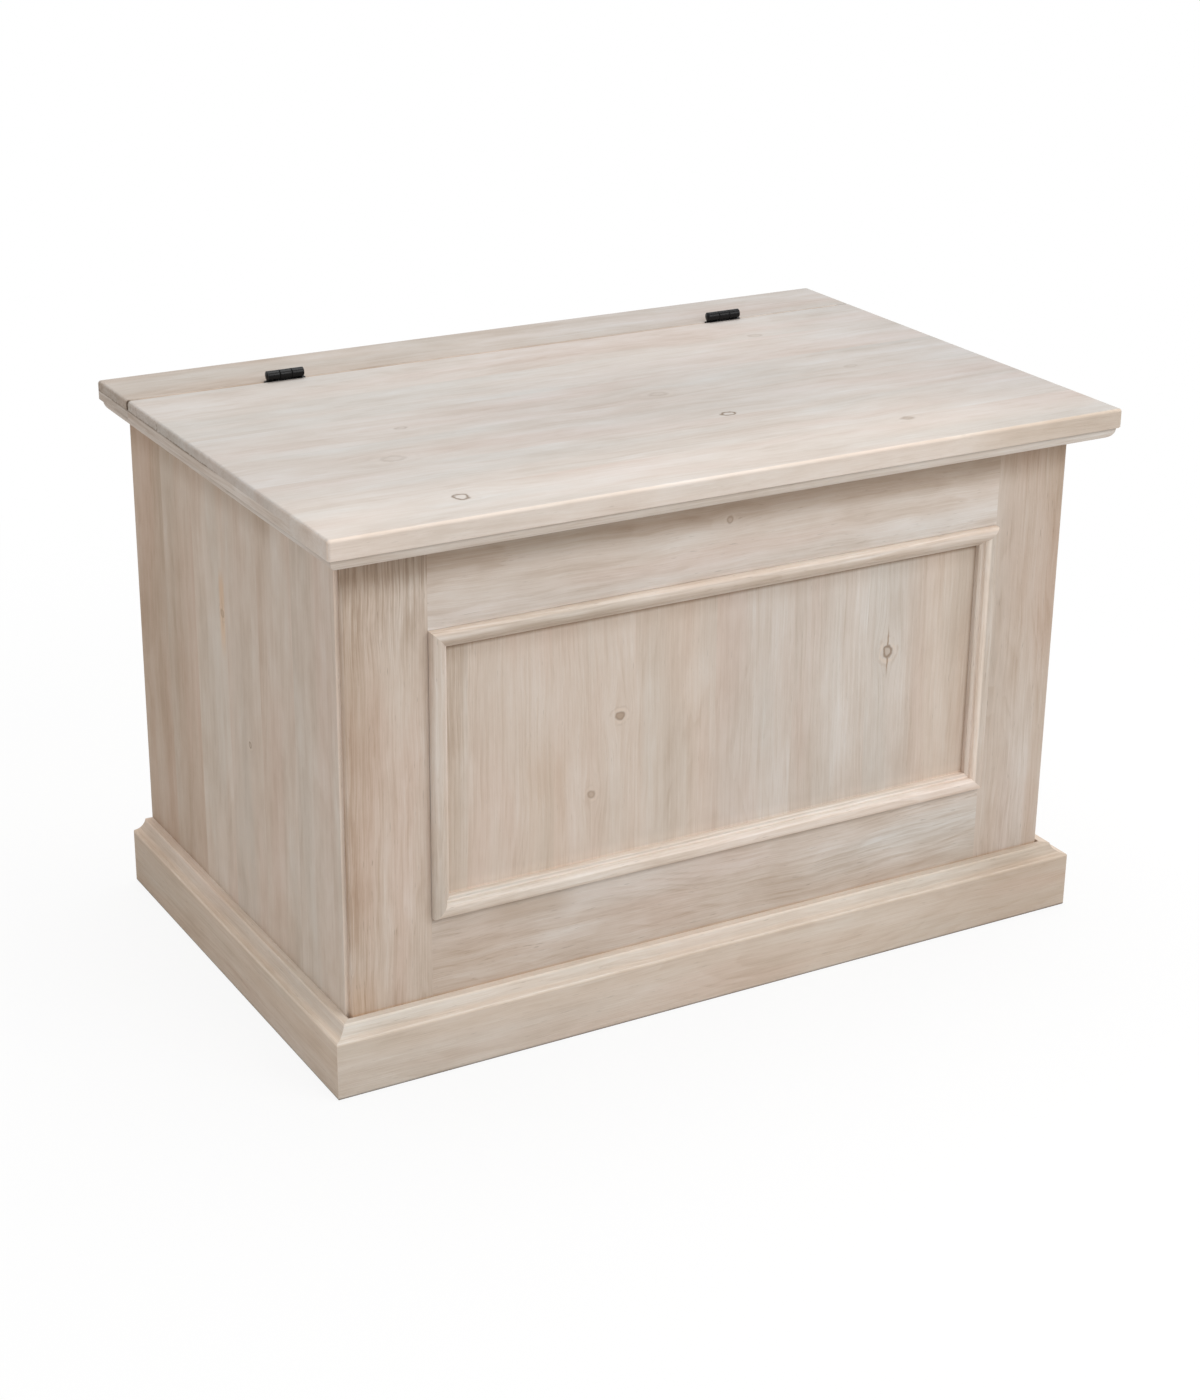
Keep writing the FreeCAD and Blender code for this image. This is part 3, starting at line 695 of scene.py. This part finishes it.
class CHEST_OT_rim(bpy.types.Operator):
    """Finish the moulded rim under the top, with painted shade of the lid: darker all over, darkest right
    under it
    """
    bl_idname = "chest.rim"
    bl_label = "Rim"

    def execute(self, context):
        # Painted shade: the rim darker than the mouldings, as it lies in the lid's shadow
        colour = tone(tuple(context.scene.chest_finish.moulding_colour), 0.82)
        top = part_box("rim_front")[1].z
        # Painted shade right under the lid
        shaded = StainOrPaintedLight([(Z, top - 0.004, top)], 0.7, 0.62, 0.05)
        sides = (("front", ALONG_X_FLAT), ("rear", ALONG_X_FLAT), ("left", ALONG_Y_FLAT),
                 ("right", ALONG_Y_FLAT))
        for seed, (side, axes) in enumerate(sides, start=17):
            finish_board("rim_" + side, axes, seed * 1.9, colour, fine=0.8, broad=0.8, stains_and_painted_light=[shaded])
        return {"FINISHED"}


class CHEST_OT_front_frame(bpy.types.Operator):
    """Finish the stiles and rails of the front: darker and paler patches, painted shadow under the rim and
    the bottom panel moulding, and painted light on the left arris and above the top panel moulding
    """
    bl_idname = "chest.front_frame"
    bl_label = "Front frame"

    def execute(self, context):
        colour = tuple(context.scene.chest_finish.front_colour)
        low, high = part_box("front_left_stile")
        top, foot = high.z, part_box("plinth_front")[1].z
        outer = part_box("front_right_stile")[1].x
        under, under_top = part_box("panel_moulding_bottom")[0].z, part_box("panel_moulding_top")[1].z
        ledge = StainOrPaintedLight([(Z, foot + 0.0035, foot + 0.0005)], 0.6, 0.80, 0.20)
        left_stile_stains_and_painted_light = [
            StainOrPaintedLight([(Z, top - 0.15, top - 0.01)], 0.8, 0.70, 0.05, patchy=True),
            StainOrPaintedLight([(X, low.x + 0.045, low.x + 0.020), (Z, 0.12, 0.16)], 1.0, 0.91, 0.03),
            StainOrPaintedLight([(X, low.x + 0.022, low.x + 0.010), (Z, 0.30, 0.36), (Z, 0.50, 0.46)], 1.0, 0.86, 0.04),
            StainOrPaintedLight([(X, low.x + 0.018, low.x + 0.004), (Z, 0.36, 0.24), (Z, 0.12, 0.20)], 0.5, 0.70, 0.12,
                  patchy=True),
            StainOrPaintedLight([(X, low.x + 0.045, low.x + 0.005), (Z, foot + 0.060, foot + 0.008)], 0.6, 0.90, 0.14),
            # Painted shadow of the rim, just under it
            StainOrPaintedLight([(Z, top - 0.050, top - 0.021)], 1.0, 0.58, 0.09),
            ledge,
            # Painted highlight along the stile's left arris
            StainOrPaintedLight([(X, low.x + 0.0022, low.x + 0.0008)], 0.6, 1.30, -0.02),
        ]
        right_stile_stains_and_painted_shadow = [
            StainOrPaintedLight([(X, outer - 0.050, outer - 0.080), (Z, 0.12, 0.30), (Z, 0.53, 0.46)], 0.7, 1.08, -0.04,
                  patchy=True),
            StainOrPaintedLight([(X, 0.355, 0.370), (X, 0.402, 0.392), (Z, 0.30, 0.16)], 1.0, 1.13, -0.05),
            StainOrPaintedLight([(X, 0.345, 0.375), (Z, 0.28, 0.36)], 1.0, 0.91, 0.03),
            StainOrPaintedLight([(X, outer - 0.026, outer - 0.012)], 1.0, 0.91, 0.03),
            # Painted shadow of the rim, just under it
            StainOrPaintedLight([(Z, top - 0.050, top - 0.014)], 1.0, 0.68, 0.08),
            ledge,
        ]
        top_rail_tones_and_painted_light = [
            StainOrPaintedLight([(Z, top - 0.056, top - 0.078)], 1.0, 1.09, -0.035),
            # Painted shadow of the rim, just under it
            StainOrPaintedLight([(Z, top - 0.046, top - 0.018)], 1.0, 0.55, 0.12),
            # Painted light on the rail's lowest strip, lifting the shade above the panel moulding
            StainOrPaintedLight([(Z, under_top + 0.0045, under_top + 0.0010)], 1.0, 1.16, 0.0),
        ]
        bottom_rail_stains_and_painted_shadow = [
            StainOrPaintedLight([(X, 0.05, 0.20), (Z, 0.082, 0.10), (Z, 0.140, 0.125)], 1.0, 1.13, -0.05),
            StainOrPaintedLight([(X, -0.18, -0.27)], 1.0, 0.92, 0.035),
            StainOrPaintedLight([(X, -0.29, -0.24), (X, -0.16, -0.20), (Z, 0.126, 0.142)], 0.9, 0.76, 0.08),
            StainOrPaintedLight([(Z, under - 0.020, under - 0.055)], 0.6, 0.90, 0.045),
            StainOrPaintedLight([(Z, under - 0.050, under - 0.015), (X, 0.05, -0.10)], 0.7, 1.08, -0.04, patchy=True),
            # Painted shadow of the bottom panel moulding, just under it
            StainOrPaintedLight([(Z, under - 0.008, under - 0.001)], 0.8, 0.62, 0.05),
            ledge,
        ]
        finish_board("front_left_stile", UPRIGHT_FACING_Y, 29.9, tone(colour, 0.90, 0.045), fine=0.95,
                     broad=1.0, stains_and_painted_light=left_stile_stains_and_painted_light, pith=(0.05, 0.14))
        finish_board("front_right_stile", UPRIGHT_FACING_Y, 31.2, tone(colour, 0.86, 0.03), fine=0.8,
                     broad=0.8, stains_and_painted_light=right_stile_stains_and_painted_shadow, pith=(-0.04, 0.14))
        finish_board("front_top_rail", ALONG_X_UPRIGHT, 33.1, tone(colour, 0.98), fine=0.75, broad=0.9,
                     stains_and_painted_light=top_rail_tones_and_painted_light, pith=(0.015, 0.10), wave=0.013,
                     knots=(Knot(0.0, 0.5175, 0.0035, rim=0.5, heart=0.4, halo=0.1),))
        finish_board("front_bottom_rail", ALONG_X_UPRIGHT, 35.9, tone(colour, 0.96), fine=0.95, broad=1.1,
                     stains_and_painted_light=bottom_rail_stains_and_painted_shadow, pith=(-0.03, 0.11), wave=0.013)
        return {"FINISHED"}


class CHEST_OT_front_panel(bpy.types.Operator):
    """Finish the panel, which is glued up from upright staves"""
    bl_idname = "chest.front_panel"
    bl_label = "Front panel"

    def execute(self, context):
        colour = tone(tuple(context.scene.chest_finish.front_colour), 0.94, 0.035)
        left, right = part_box("panel_moulding_left")[1].x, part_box("panel_moulding_right")[0].x
        top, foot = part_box("panel_moulding_top")[0].z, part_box("panel_moulding_bottom")[1].z
        stains_and_painted_light = [
            StainOrPaintedLight([(X, 0.10, 0.15), (X, 0.255, 0.215), (Z, 0.20, 0.30)], 1.0, 1.10, -0.02),
            StainOrPaintedLight([(X, -0.04, 0.02), (X, 0.27, 0.22)], 1.0, 1.0, -0.04),
            StainOrPaintedLight([(X, -0.165, -0.19), (X, -0.235, -0.21), (Z, 0.34, 0.28)], 1.0, 0.92, 0.04),
            StainOrPaintedLight([(X, left + 0.050, left + 0.004), (Z, 0.20, 0.42)], 0.7, 0.76, 0.05, patchy=True),
            StainOrPaintedLight([(X, left + 0.030, left + 0.010)], 1.0, 0.93, 0.03),
            StainOrPaintedLight([(X, right - 0.036, right - 0.014)], 1.0, 0.88, 0.03),
            # Painted shadow of the top moulding over the panel's upper part
            StainOrPaintedLight([(Z, top - 0.026, top - 0.008)], 1.0, 0.89, 0.02),
            # Painted shade in thin lines beside the left and right mouldings
            StainOrPaintedLight([(X, left + 0.0032, left + 0.0006)], 0.8, 0.62, 0.08),
            StainOrPaintedLight([(X, right - 0.0040, right - 0.0006)], 0.8, 0.75, 0.08),
            # Painted shadow, darkest, right under the top moulding
            StainOrPaintedLight([(Z, top - 0.0070, top - 0.0020)], 1.0, 0.50, 0.14),
            # Painted light above the bottom moulding, palest next to it
            StainOrPaintedLight([(Z, foot + 0.0160, foot + 0.0040)], 1.0, 1.08, 0.0),
            StainOrPaintedLight([(Z, foot + 0.0035, foot + 0.0005)], 1.0, 1.22, 0.0),
        ]
        knots = (
            Knot(0.3305, -0.1178, 0.0050, rim=0.55, heart=0.75, halo=0.40, length=0.8),
            Knot(0.2520, -0.1500, 0.0040, rim=0.40, heart=0.50, halo=0.25),
            Knot(0.3395, 0.2042, 0.0052, rim=0.80, heart=0.35, tail=0.75, reach=0.034, halo=0.45,
                 length=1.25),
        )
        finish_board("front_panel", UPRIGHT_FACING_Y, 41.3, colour, fine=0.58, broad=0.7, stains_and_painted_light=stains_and_painted_light,
                     pith=(0.0, 0.16), knots=knots, staves=0.093, wave=0.006)
        return {"FINISHED"}


class CHEST_OT_panel_moulding(bpy.types.Operator):
    """Finish the four mitred strips of panel moulding, with painted highlights and painted shade across their
    profile
    """
    bl_idname = "chest.panel_moulding"
    bl_label = "Panel moulding"

    def execute(self, context):
        colour = tuple(context.scene.chest_finish.moulding_colour)
        boxes = {side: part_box("panel_moulding_" + side) for side in ("top", "bottom", "left", "right")}
        top, bottom, left, right = boxes["top"], boxes["bottom"], boxes["left"], boxes["right"]
        stains_and_painted_light = {
            # Top strip: painted highlight on its upper edge, painted shade on its lower part
            "top": [StainOrPaintedLight([(Z, top[1].z - 0.0040, top[1].z - 0.0010)], 1.0, 1.34, 0.0),
                    StainOrPaintedLight([(Z, top[0].z + 0.0145, top[0].z + 0.0100)], 1.0, 0.70, 0.05)],
            # Bottom strip: painted highlights on the crest and the upper edge, painted shadow at the lower
            # edge
            "bottom": [StainOrPaintedLight([(Z, bottom[1].z - 0.0095, bottom[1].z - 0.0070),
                              (Z, bottom[1].z - 0.0020, bottom[1].z - 0.0035)], 1.0, 1.28, -0.02),
                       StainOrPaintedLight([(Z, bottom[1].z - 0.0015, bottom[1].z - 0.0003)], 1.0, 1.22, 0.0),
                       StainOrPaintedLight([(Z, bottom[0].z + 0.0060, bottom[0].z)], 0.6, 0.75, 0.06)],
            # Left strip: painted shade over all but the inner edge, painted light along the outer edge
            "left": [StainOrPaintedLight([(X, left[1].x, left[1].x - 0.0040)], 1.0, 0.84, 0.01),
                     StainOrPaintedLight([(X, left[0].x + 0.0060, left[0].x + 0.0020)], 1.0, 1.18, 0.0)],
            # Right strip: painted shade on its outer part, painted highlight on a band near the inner edge
            "right": [StainOrPaintedLight([(X, right[0].x + 0.0070, right[0].x + 0.0095)], 1.0, 0.79, 0.02),
                      StainOrPaintedLight([(X, right[0].x + 0.0035, right[0].x + 0.0050),
                             (X, right[0].x + 0.0095, right[0].x + 0.0075)], 1.0, 1.25, 0.0)],
        }
        sides = (("top", ALONG_X_UPRIGHT), ("bottom", ALONG_X_UPRIGHT), ("left", UPRIGHT_FACING_Y),
                 ("right", UPRIGHT_FACING_Y))
        for seed, (side, axes) in enumerate(sides, start=45):
            finish_board("panel_moulding_" + side, axes, seed * 1.1, tone(colour, 0.98, 0.01), fine=0.9,
                         broad=0.9, stains_and_painted_light=stains_and_painted_light[side])
        return {"FINISHED"}


class CHEST_OT_side_boards(bpy.types.Operator):
    """Finish the upright boards of both sides"""
    bl_idname = "chest.side_boards"
    bl_label = "Side boards"

    def execute(self, context):
        colour = tuple(context.scene.chest_finish.side_colour)
        tones = ((1.02, 0.0), (1.0, 0.01), (1.02, 0.0), (1.02, 0.01), (0.92, 0.04), (0.86, 0.06))
        knots = {
            ("left", 3): (Knot(0.278, -0.0252, 0.003, rim=0.6, heart=0.4, halo=0.2),),
            ("left", 4): (Knot(0.400, 0.035, 0.004, rim=0.35, heart=0.45, tail=0.35, reach=0.024,
                               halo=0.3),),
        }
        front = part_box("left_side_board_1")[0].y
        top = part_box("left_side_board_1")[1].z
        broad = [
            StainOrPaintedLight([(Y, -0.045, -0.010), (Y, 0.095, 0.055), (Z, 0.46, 0.36)], 0.8, 1.10, -0.04, patchy=True),
            StainOrPaintedLight([(Y, -0.05, -0.12), (Z, 0.10, 0.20)], 1.0, 1.06, -0.025),
            StainOrPaintedLight([(Y, 0.10, 0.17), (Z, 0.44, 0.34)], 1.0, 0.89, 0.02),
            StainOrPaintedLight([(Y, 0.16, 0.06), (Z, 0.115, 0.090)], 1.0, 1.08, -0.02),
            # Painted shadow of the rim near the top front of the side
            StainOrPaintedLight([(Y, -0.14, -0.07), (Z, top - 0.045, top - 0.015)], 1.0, 0.80, 0.04),
            # Painted light on the front edges of the side, lifting the shade beside the stile
            StainOrPaintedLight([(Y, front + 0.004, front + 0.001)], 1.0, 1.15, 0.0, facing=Y),
        ]
        resin = {("left", 4): [StainOrPaintedLight([(Y, 0.026, 0.033), (Y, 0.045, 0.038), (Z, 0.345, 0.385),
                                      (Z, 0.452, 0.425)], 0.8, 0.90, 0.18)]}
        for side, turn in (("left", 1), ("right", -1)):
            for index, (share, warmth) in enumerate(tones, start=1):
                seed = index * 1.37 + (0 if side == "left" else 20)
                finish_board("%s_side_board_%d" % (side, index), UPRIGHT_FACING_X, seed,
                             tone(colour, share, warmth), fine=0.45, broad=1.0,
                             stains_and_painted_light=broad + resin.get((side, index), []),
                             knots=knots.get((side, index), ()), pith=(0.03 * math.sin(seed), 0.12 * turn))
        return {"FINISHED"}


class CHEST_OT_plinth(bpy.types.Operator):
    """Finish the three plinth pieces, with painted highlights on the cove and a painted contact shadow along
    the foot
    """
    bl_idname = "chest.plinth"
    bl_label = "Plinth"

    def execute(self, context):
        colour = tuple(context.scene.chest_finish.plinth_colour)
        outer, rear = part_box("plinth_left")[0].x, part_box("plinth_left")[1].y
        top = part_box("plinth_front")[1].z
        shared = [
            # Painted highlights: the cove paler, with bright lines at its top and along the fillet at its
            # foot
            StainOrPaintedLight([(Z, top - 0.0140, top - 0.0115)], 1.0, 1.22, -0.04),
            StainOrPaintedLight([(Z, top - 0.0030, top - 0.0010)], 0.9, 1.14, 0.01),
            StainOrPaintedLight([(Z, top - 0.0150, top - 0.0130), (Z, top - 0.0085, top - 0.0105)], 0.9, 1.14, 0.01),
            # Painted contact shadow along the foot
            StainOrPaintedLight([(Z, 0.0034, 0.0008)], 0.85, 0.22),
        ]
        own = {
            "front": [StainOrPaintedLight([(X, 0.16, 0.40)], 1.0, 0.77, 0.05),
                      StainOrPaintedLight([(X, 0.10, -0.30), (Z, 0.050, 0.030)], 1.0, 1.08, -0.045)],
            "left": [StainOrPaintedLight([(Y, 0.10, -0.10), (Z, 0.040, 0.015)], 1.0, 1.10, -0.04),
                     StainOrPaintedLight([(X, outer + 0.03, outer)], 1.0, 0.93, 0.05),
                     StainOrPaintedLight([(Y, 0.12, rear), (X, outer + 0.03, outer)], 0.8, 0.80, 0.03)],
            "right": [],
        }
        sides = (("front", ALONG_X_UPRIGHT), ("left", ALONG_Y_UPRIGHT), ("right", ALONG_Y_UPRIGHT))
        for seed, (side, axes) in enumerate(sides, start=61):
            finish_board("plinth_" + side, axes, seed * 1.2, colour, fine=0.7, broad=0.7,
                         stains_and_painted_light=shared + own[side], pith=(0.02, 0.10))
        return {"FINISHED"}


def joint_stains(node, axis):
    """Darker lines along both edges of a board, across the given axis."""
    low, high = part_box(node)
    return [StainOrPaintedLight([(axis, low[axis] + 0.0016, low[axis] + 0.0004)], 0.8, 0.62, 0.05),
            StainOrPaintedLight([(axis, high[axis] - 0.0016, high[axis] - 0.0004)], 0.8, 0.62, 0.05)]


class CHEST_OT_inside(bpy.types.Operator):
    """Finish the back, the floor and the cleats, which have no lime"""
    bl_idname = "chest.inside"
    bl_label = "Back and floor"

    def execute(self, context):
        colour = tuple(context.scene.chest_finish.inner_colour)
        rows = (("back_board_%d", ALONG_X_UPRIGHT, 71.0, (0.01, 0.09)),
                ("floor_board_%d", ALONG_X_FLAT, 83.0, (0.02, -0.08)))
        for index, share in enumerate((1.0, 0.95, 1.03, 0.98), start=1):
            for name, axes, seed, pith in rows:
                node = name % index
                finish_board(node, axes, seed + index * 1.7, tone(colour, share), pith=pith, wave=0.006,
                             stains_and_painted_light=joint_stains(node, axes[1]))
        finish_board("back_foot_rail", ALONG_X_UPRIGHT, 91.7, colour)
        sides = (("front", ALONG_X_FLAT), ("rear", ALONG_X_FLAT), ("left", ALONG_Y_FLAT),
                 ("right", ALONG_Y_FLAT))
        for seed, (side, axes) in enumerate(sides, start=95):
            finish_board("floor_cleat_" + side, axes, seed * 1.1, colour)
        return {"FINISHED"}


def even_noise(tree, places, often, detail):
    """Noise with so many waves to the metre in every direction."""
    return noise(tree, joined(tree, *(compute(tree, "MULTIPLY", place, often) for place in places)), detail)


def knuckle_gaps():
    """The places along X where two knuckles of a hinge meet."""
    places = []
    for side in ("left", "right"):
        low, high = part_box("hinge_%s_lid_leaf" % side)
        middle = (low.x + high.x) / 2
        places += [middle - KNUCKLE_GAP, middle + KNUCKLE_GAP]
    return places


class CHEST_OT_hinges(bpy.types.Operator):
    """Finish the hinges, their pins and screws in black enamel"""
    bl_idname = "chest.hinges"
    bl_label = "Hinges"

    def execute(self, context):
        colour = tuple(context.scene.chest_finish.hinge_colour)
        material, tree, shader = new_material("black_enamel")
        source = tree.nodes.new("ShaderNodeTexCoord")
        places = split(tree, source, "Object")
        speckle, wear = [even_noise(tree, places, often, detail) for often, detail in (SPECKLE, WEAR)]
        shade = blended(tree, remap(tree, speckle, 0.60, 0.80), colour, tone(colour, 3.0, 0.2))
        shade = blended(tree, remap(tree, wear, 0.58, 0.72, 0.0, 0.5), shade, tone(colour, 4.5, 0.3))
        knuckle_groove_and_painted_shade = 0.0
        for gap in knuckle_gaps():
            near = compute(tree, "ABSOLUTE", compute(tree, "SUBTRACT", places[X], gap))
            knuckle_groove_and_painted_shade = compute(tree, "MAXIMUM", knuckle_groove_and_painted_shade, remap(tree, near, *KNUCKLE_LINE, 1.0, 0.0))
        # Painted shade in the gaps between knuckles; the same lines also dent the relief and raise the
        # roughness
        feed(tree, shader.inputs["Base Color"], blended(tree, knuckle_groove_and_painted_shade, shade, tone(colour, 0.2)))
        rough = remap(tree, speckle, 0.3, 0.7, *ENAMEL_ROUGHNESS)
        feed(tree, shader.inputs["Roughness"], total(tree, rough, compute(tree, "MULTIPLY", knuckle_groove_and_painted_shade, 0.6)))
        shader.inputs["Specular IOR Level"].default_value = ENAMEL_GLOSS
        height = compute(tree, "SUBTRACT", compute(tree, "MULTIPLY", speckle, 0.25), knuckle_groove_and_painted_shade)
        raise_surface(tree, shader, height, ENAMEL_RELIEF, ENAMEL_RELIEF_DEPTH)
        for part in ("left_rail_leaf", "left_lid_leaf", "right_rail_leaf", "right_lid_leaf", "pins",
                     "rail_screws", "lid_screws"):
            dress("hinge_" + part, material)
        return {"FINISHED"}


class CHEST_OT_studio(bpy.types.Operator):
    """Set the floor, the lamps and the camera"""
    bl_idname = "chest.studio"
    bl_label = "Studio"

    def execute(self, context):
        studio = context.scene.chest_studio
        add_floor(studio)
        add_room_light(studio)
        add_lamp("key_lamp", *KEY_LAMP, studio.key_power)
        add_lamp("top_lamp", *TOP_LAMP, studio.top_power)
        add_camera()
        context.scene.view_settings.view_transform = "Standard"
        return {"FINISHED"}


# Studio

def white_to_camera(tree, plain):
    """1 for rays that look at the backdrop straight, in a gloss or through glass."""
    path = tree.nodes.new("ShaderNodeLightPath")
    seen = compute(tree, "MAXIMUM", path.outputs["Is Camera Ray"], path.outputs["Is Glossy Ray"])
    seen = compute(tree, "MAXIMUM", seen, path.outputs["Is Transmission Ray"])
    return compute(tree, "MULTIPLY", seen, plain)


def add_floor(studio):
    half = studio.floor_size / 2
    mesh = bpy.data.meshes.new("floor")
    corners = [(-half, -half, 0), (half, -half, 0), (half, half, 0), (-half, half, 0)]
    mesh.from_pydata(corners, [], [(0, 1, 2, 3)])
    floor = bpy.data.objects.new("floor", mesh)
    bpy.context.scene.collection.objects.link(floor)
    material, tree, shader = new_material("floor_paper")
    source = tree.nodes.new("ShaderNodeTexCoord")
    mottle = noise(tree, source.outputs["Object"], detail=3.0)
    feed(tree, shader.inputs["Base Color"], blended(tree, mottle, *FLOOR_TONES))
    shader.inputs["Roughness"].default_value = 0.9
    shader.inputs["Specular IOR Level"].default_value = 0.0
    glow = tree.nodes.new("ShaderNodeEmission")
    glow.inputs["Strength"].default_value = 1.0
    mix = tree.nodes.new("ShaderNodeMixShader")
    output = [node for node in tree.nodes if node.type == "OUTPUT_MATERIAL"][0]
    x, y = split(tree, source, "Object")[:2]
    white = remap(tree, distance(tree, x, y), *FLOOR_FADE, studio.floor_white, 1.0)
    feed(tree, mix.inputs[0], white_to_camera(tree, white))
    tree.links.new(shader.outputs[0], mix.inputs[1])
    tree.links.new(glow.outputs[0], mix.inputs[2])
    tree.links.new(mix.outputs[0], output.inputs["Surface"])
    mesh.materials.append(material)


def add_room_light(studio):
    world = bpy.data.worlds.new("studio")
    bpy.context.scene.world = world
    world.use_nodes = True
    tree = world.node_tree
    tree.nodes.clear()
    background = tree.nodes.new("ShaderNodeBackground")
    output = tree.nodes.new("ShaderNodeOutputWorld")
    tree.links.new(background.outputs[0], output.inputs[0])
    seen = white_to_camera(tree, 1.0)
    level = compute(tree, "MULTIPLY_ADD", seen, 1.0 - studio.world_level, studio.world_level)
    feed(tree, background.inputs["Strength"], level)


def add_lamp(name, place, target, power):
    lamp = bpy.data.lights.new(name, "AREA")
    lamp.shape = "RECTANGLE"
    lamp.size, lamp.size_y = LAMP_SIZE
    lamp.energy = power
    holder = bpy.data.objects.new(name, lamp)
    holder.location = place
    aim = Vector(target) - Vector(place)
    holder.rotation_euler = aim.to_track_quat("-Z", "Y").to_euler()
    bpy.context.scene.collection.objects.link(holder)


def add_camera():
    """The camera of the photograph, found from the straight edges that it shows."""
    azimuth, elevation, roll = CAMERA_AZIMUTH, CAMERA_ELEVATION, CAMERA_ROLL
    back = Vector((math.sin(azimuth) * math.cos(elevation), -math.cos(azimuth) * math.cos(elevation),
                   math.sin(elevation)))
    right = Vector((0, 0, 1)).cross(back).normalized()
    up = back.cross(right)
    turned_right = right * math.cos(roll) - up * math.sin(roll)
    turned_up = right * math.sin(roll) + up * math.cos(roll)
    data = bpy.data.cameras.new("camera")
    data.sensor_fit = "VERTICAL"
    data.sensor_height = SENSOR_HEIGHT_MM
    data.lens = SENSOR_HEIGHT_MM * FOCAL_PIXELS / FRAME_PIXELS_HIGH
    camera = bpy.data.objects.new("camera", data)
    place = Matrix((turned_right, turned_up, back)).transposed().to_4x4()
    place.translation = CAMERA_PLACE
    camera.matrix_world = place
    bpy.context.scene.collection.objects.link(camera)
    bpy.context.scene.camera = camera


# Panel and registration

class CHEST_PT_pieces(bpy.types.Panel):
    """Finishes and studio of the chest"""
    bl_idname = "CHEST_PT_pieces"
    bl_label = "Chest"
    bl_space_type = "VIEW_3D"
    bl_region_type = "UI"
    bl_category = "Chest"

    def draw(self, context):
        layout = self.layout
        for settings in (context.scene.chest_finish, context.scene.chest_studio):
            column = layout.column()
            for name in settings.bl_rna.properties.keys():
                if name not in ("rna_type", "name"):
                    column.prop(settings, name)
        for operator in PIECES:
            layout.operator(operator.bl_idname)


PIECES = (CHEST_OT_lid_boards, CHEST_OT_hinge_rail, CHEST_OT_lippings, CHEST_OT_rim, CHEST_OT_front_frame,
          CHEST_OT_front_panel, CHEST_OT_panel_moulding, CHEST_OT_side_boards, CHEST_OT_plinth,
          CHEST_OT_inside, CHEST_OT_hinges, CHEST_OT_studio)
CLASSES = (ChestFinish, ChestStudio, *PIECES, CHEST_PT_pieces)


def register():
    for cls in CLASSES:
        bpy.utils.register_class(cls)
    bpy.types.Scene.chest_finish = bpy.props.PointerProperty(type=ChestFinish)
    bpy.types.Scene.chest_studio = bpy.props.PointerProperty(type=ChestStudio)


def unregister():
    del bpy.types.Scene.chest_studio
    del bpy.types.Scene.chest_finish
    for cls in reversed(CLASSES):
        bpy.utils.unregister_class(cls)


def main():
    register()
    bpy.ops.chest.lid_boards()
    bpy.ops.chest.hinge_rail()
    bpy.ops.chest.lippings()
    bpy.ops.chest.rim()
    bpy.ops.chest.front_frame()
    bpy.ops.chest.front_panel()
    bpy.ops.chest.panel_moulding()
    bpy.ops.chest.side_boards()
    bpy.ops.chest.plinth()
    bpy.ops.chest.inside()
    bpy.ops.chest.hinges()
    bpy.ops.chest.studio()


if __name__ == "__main__":
    main()
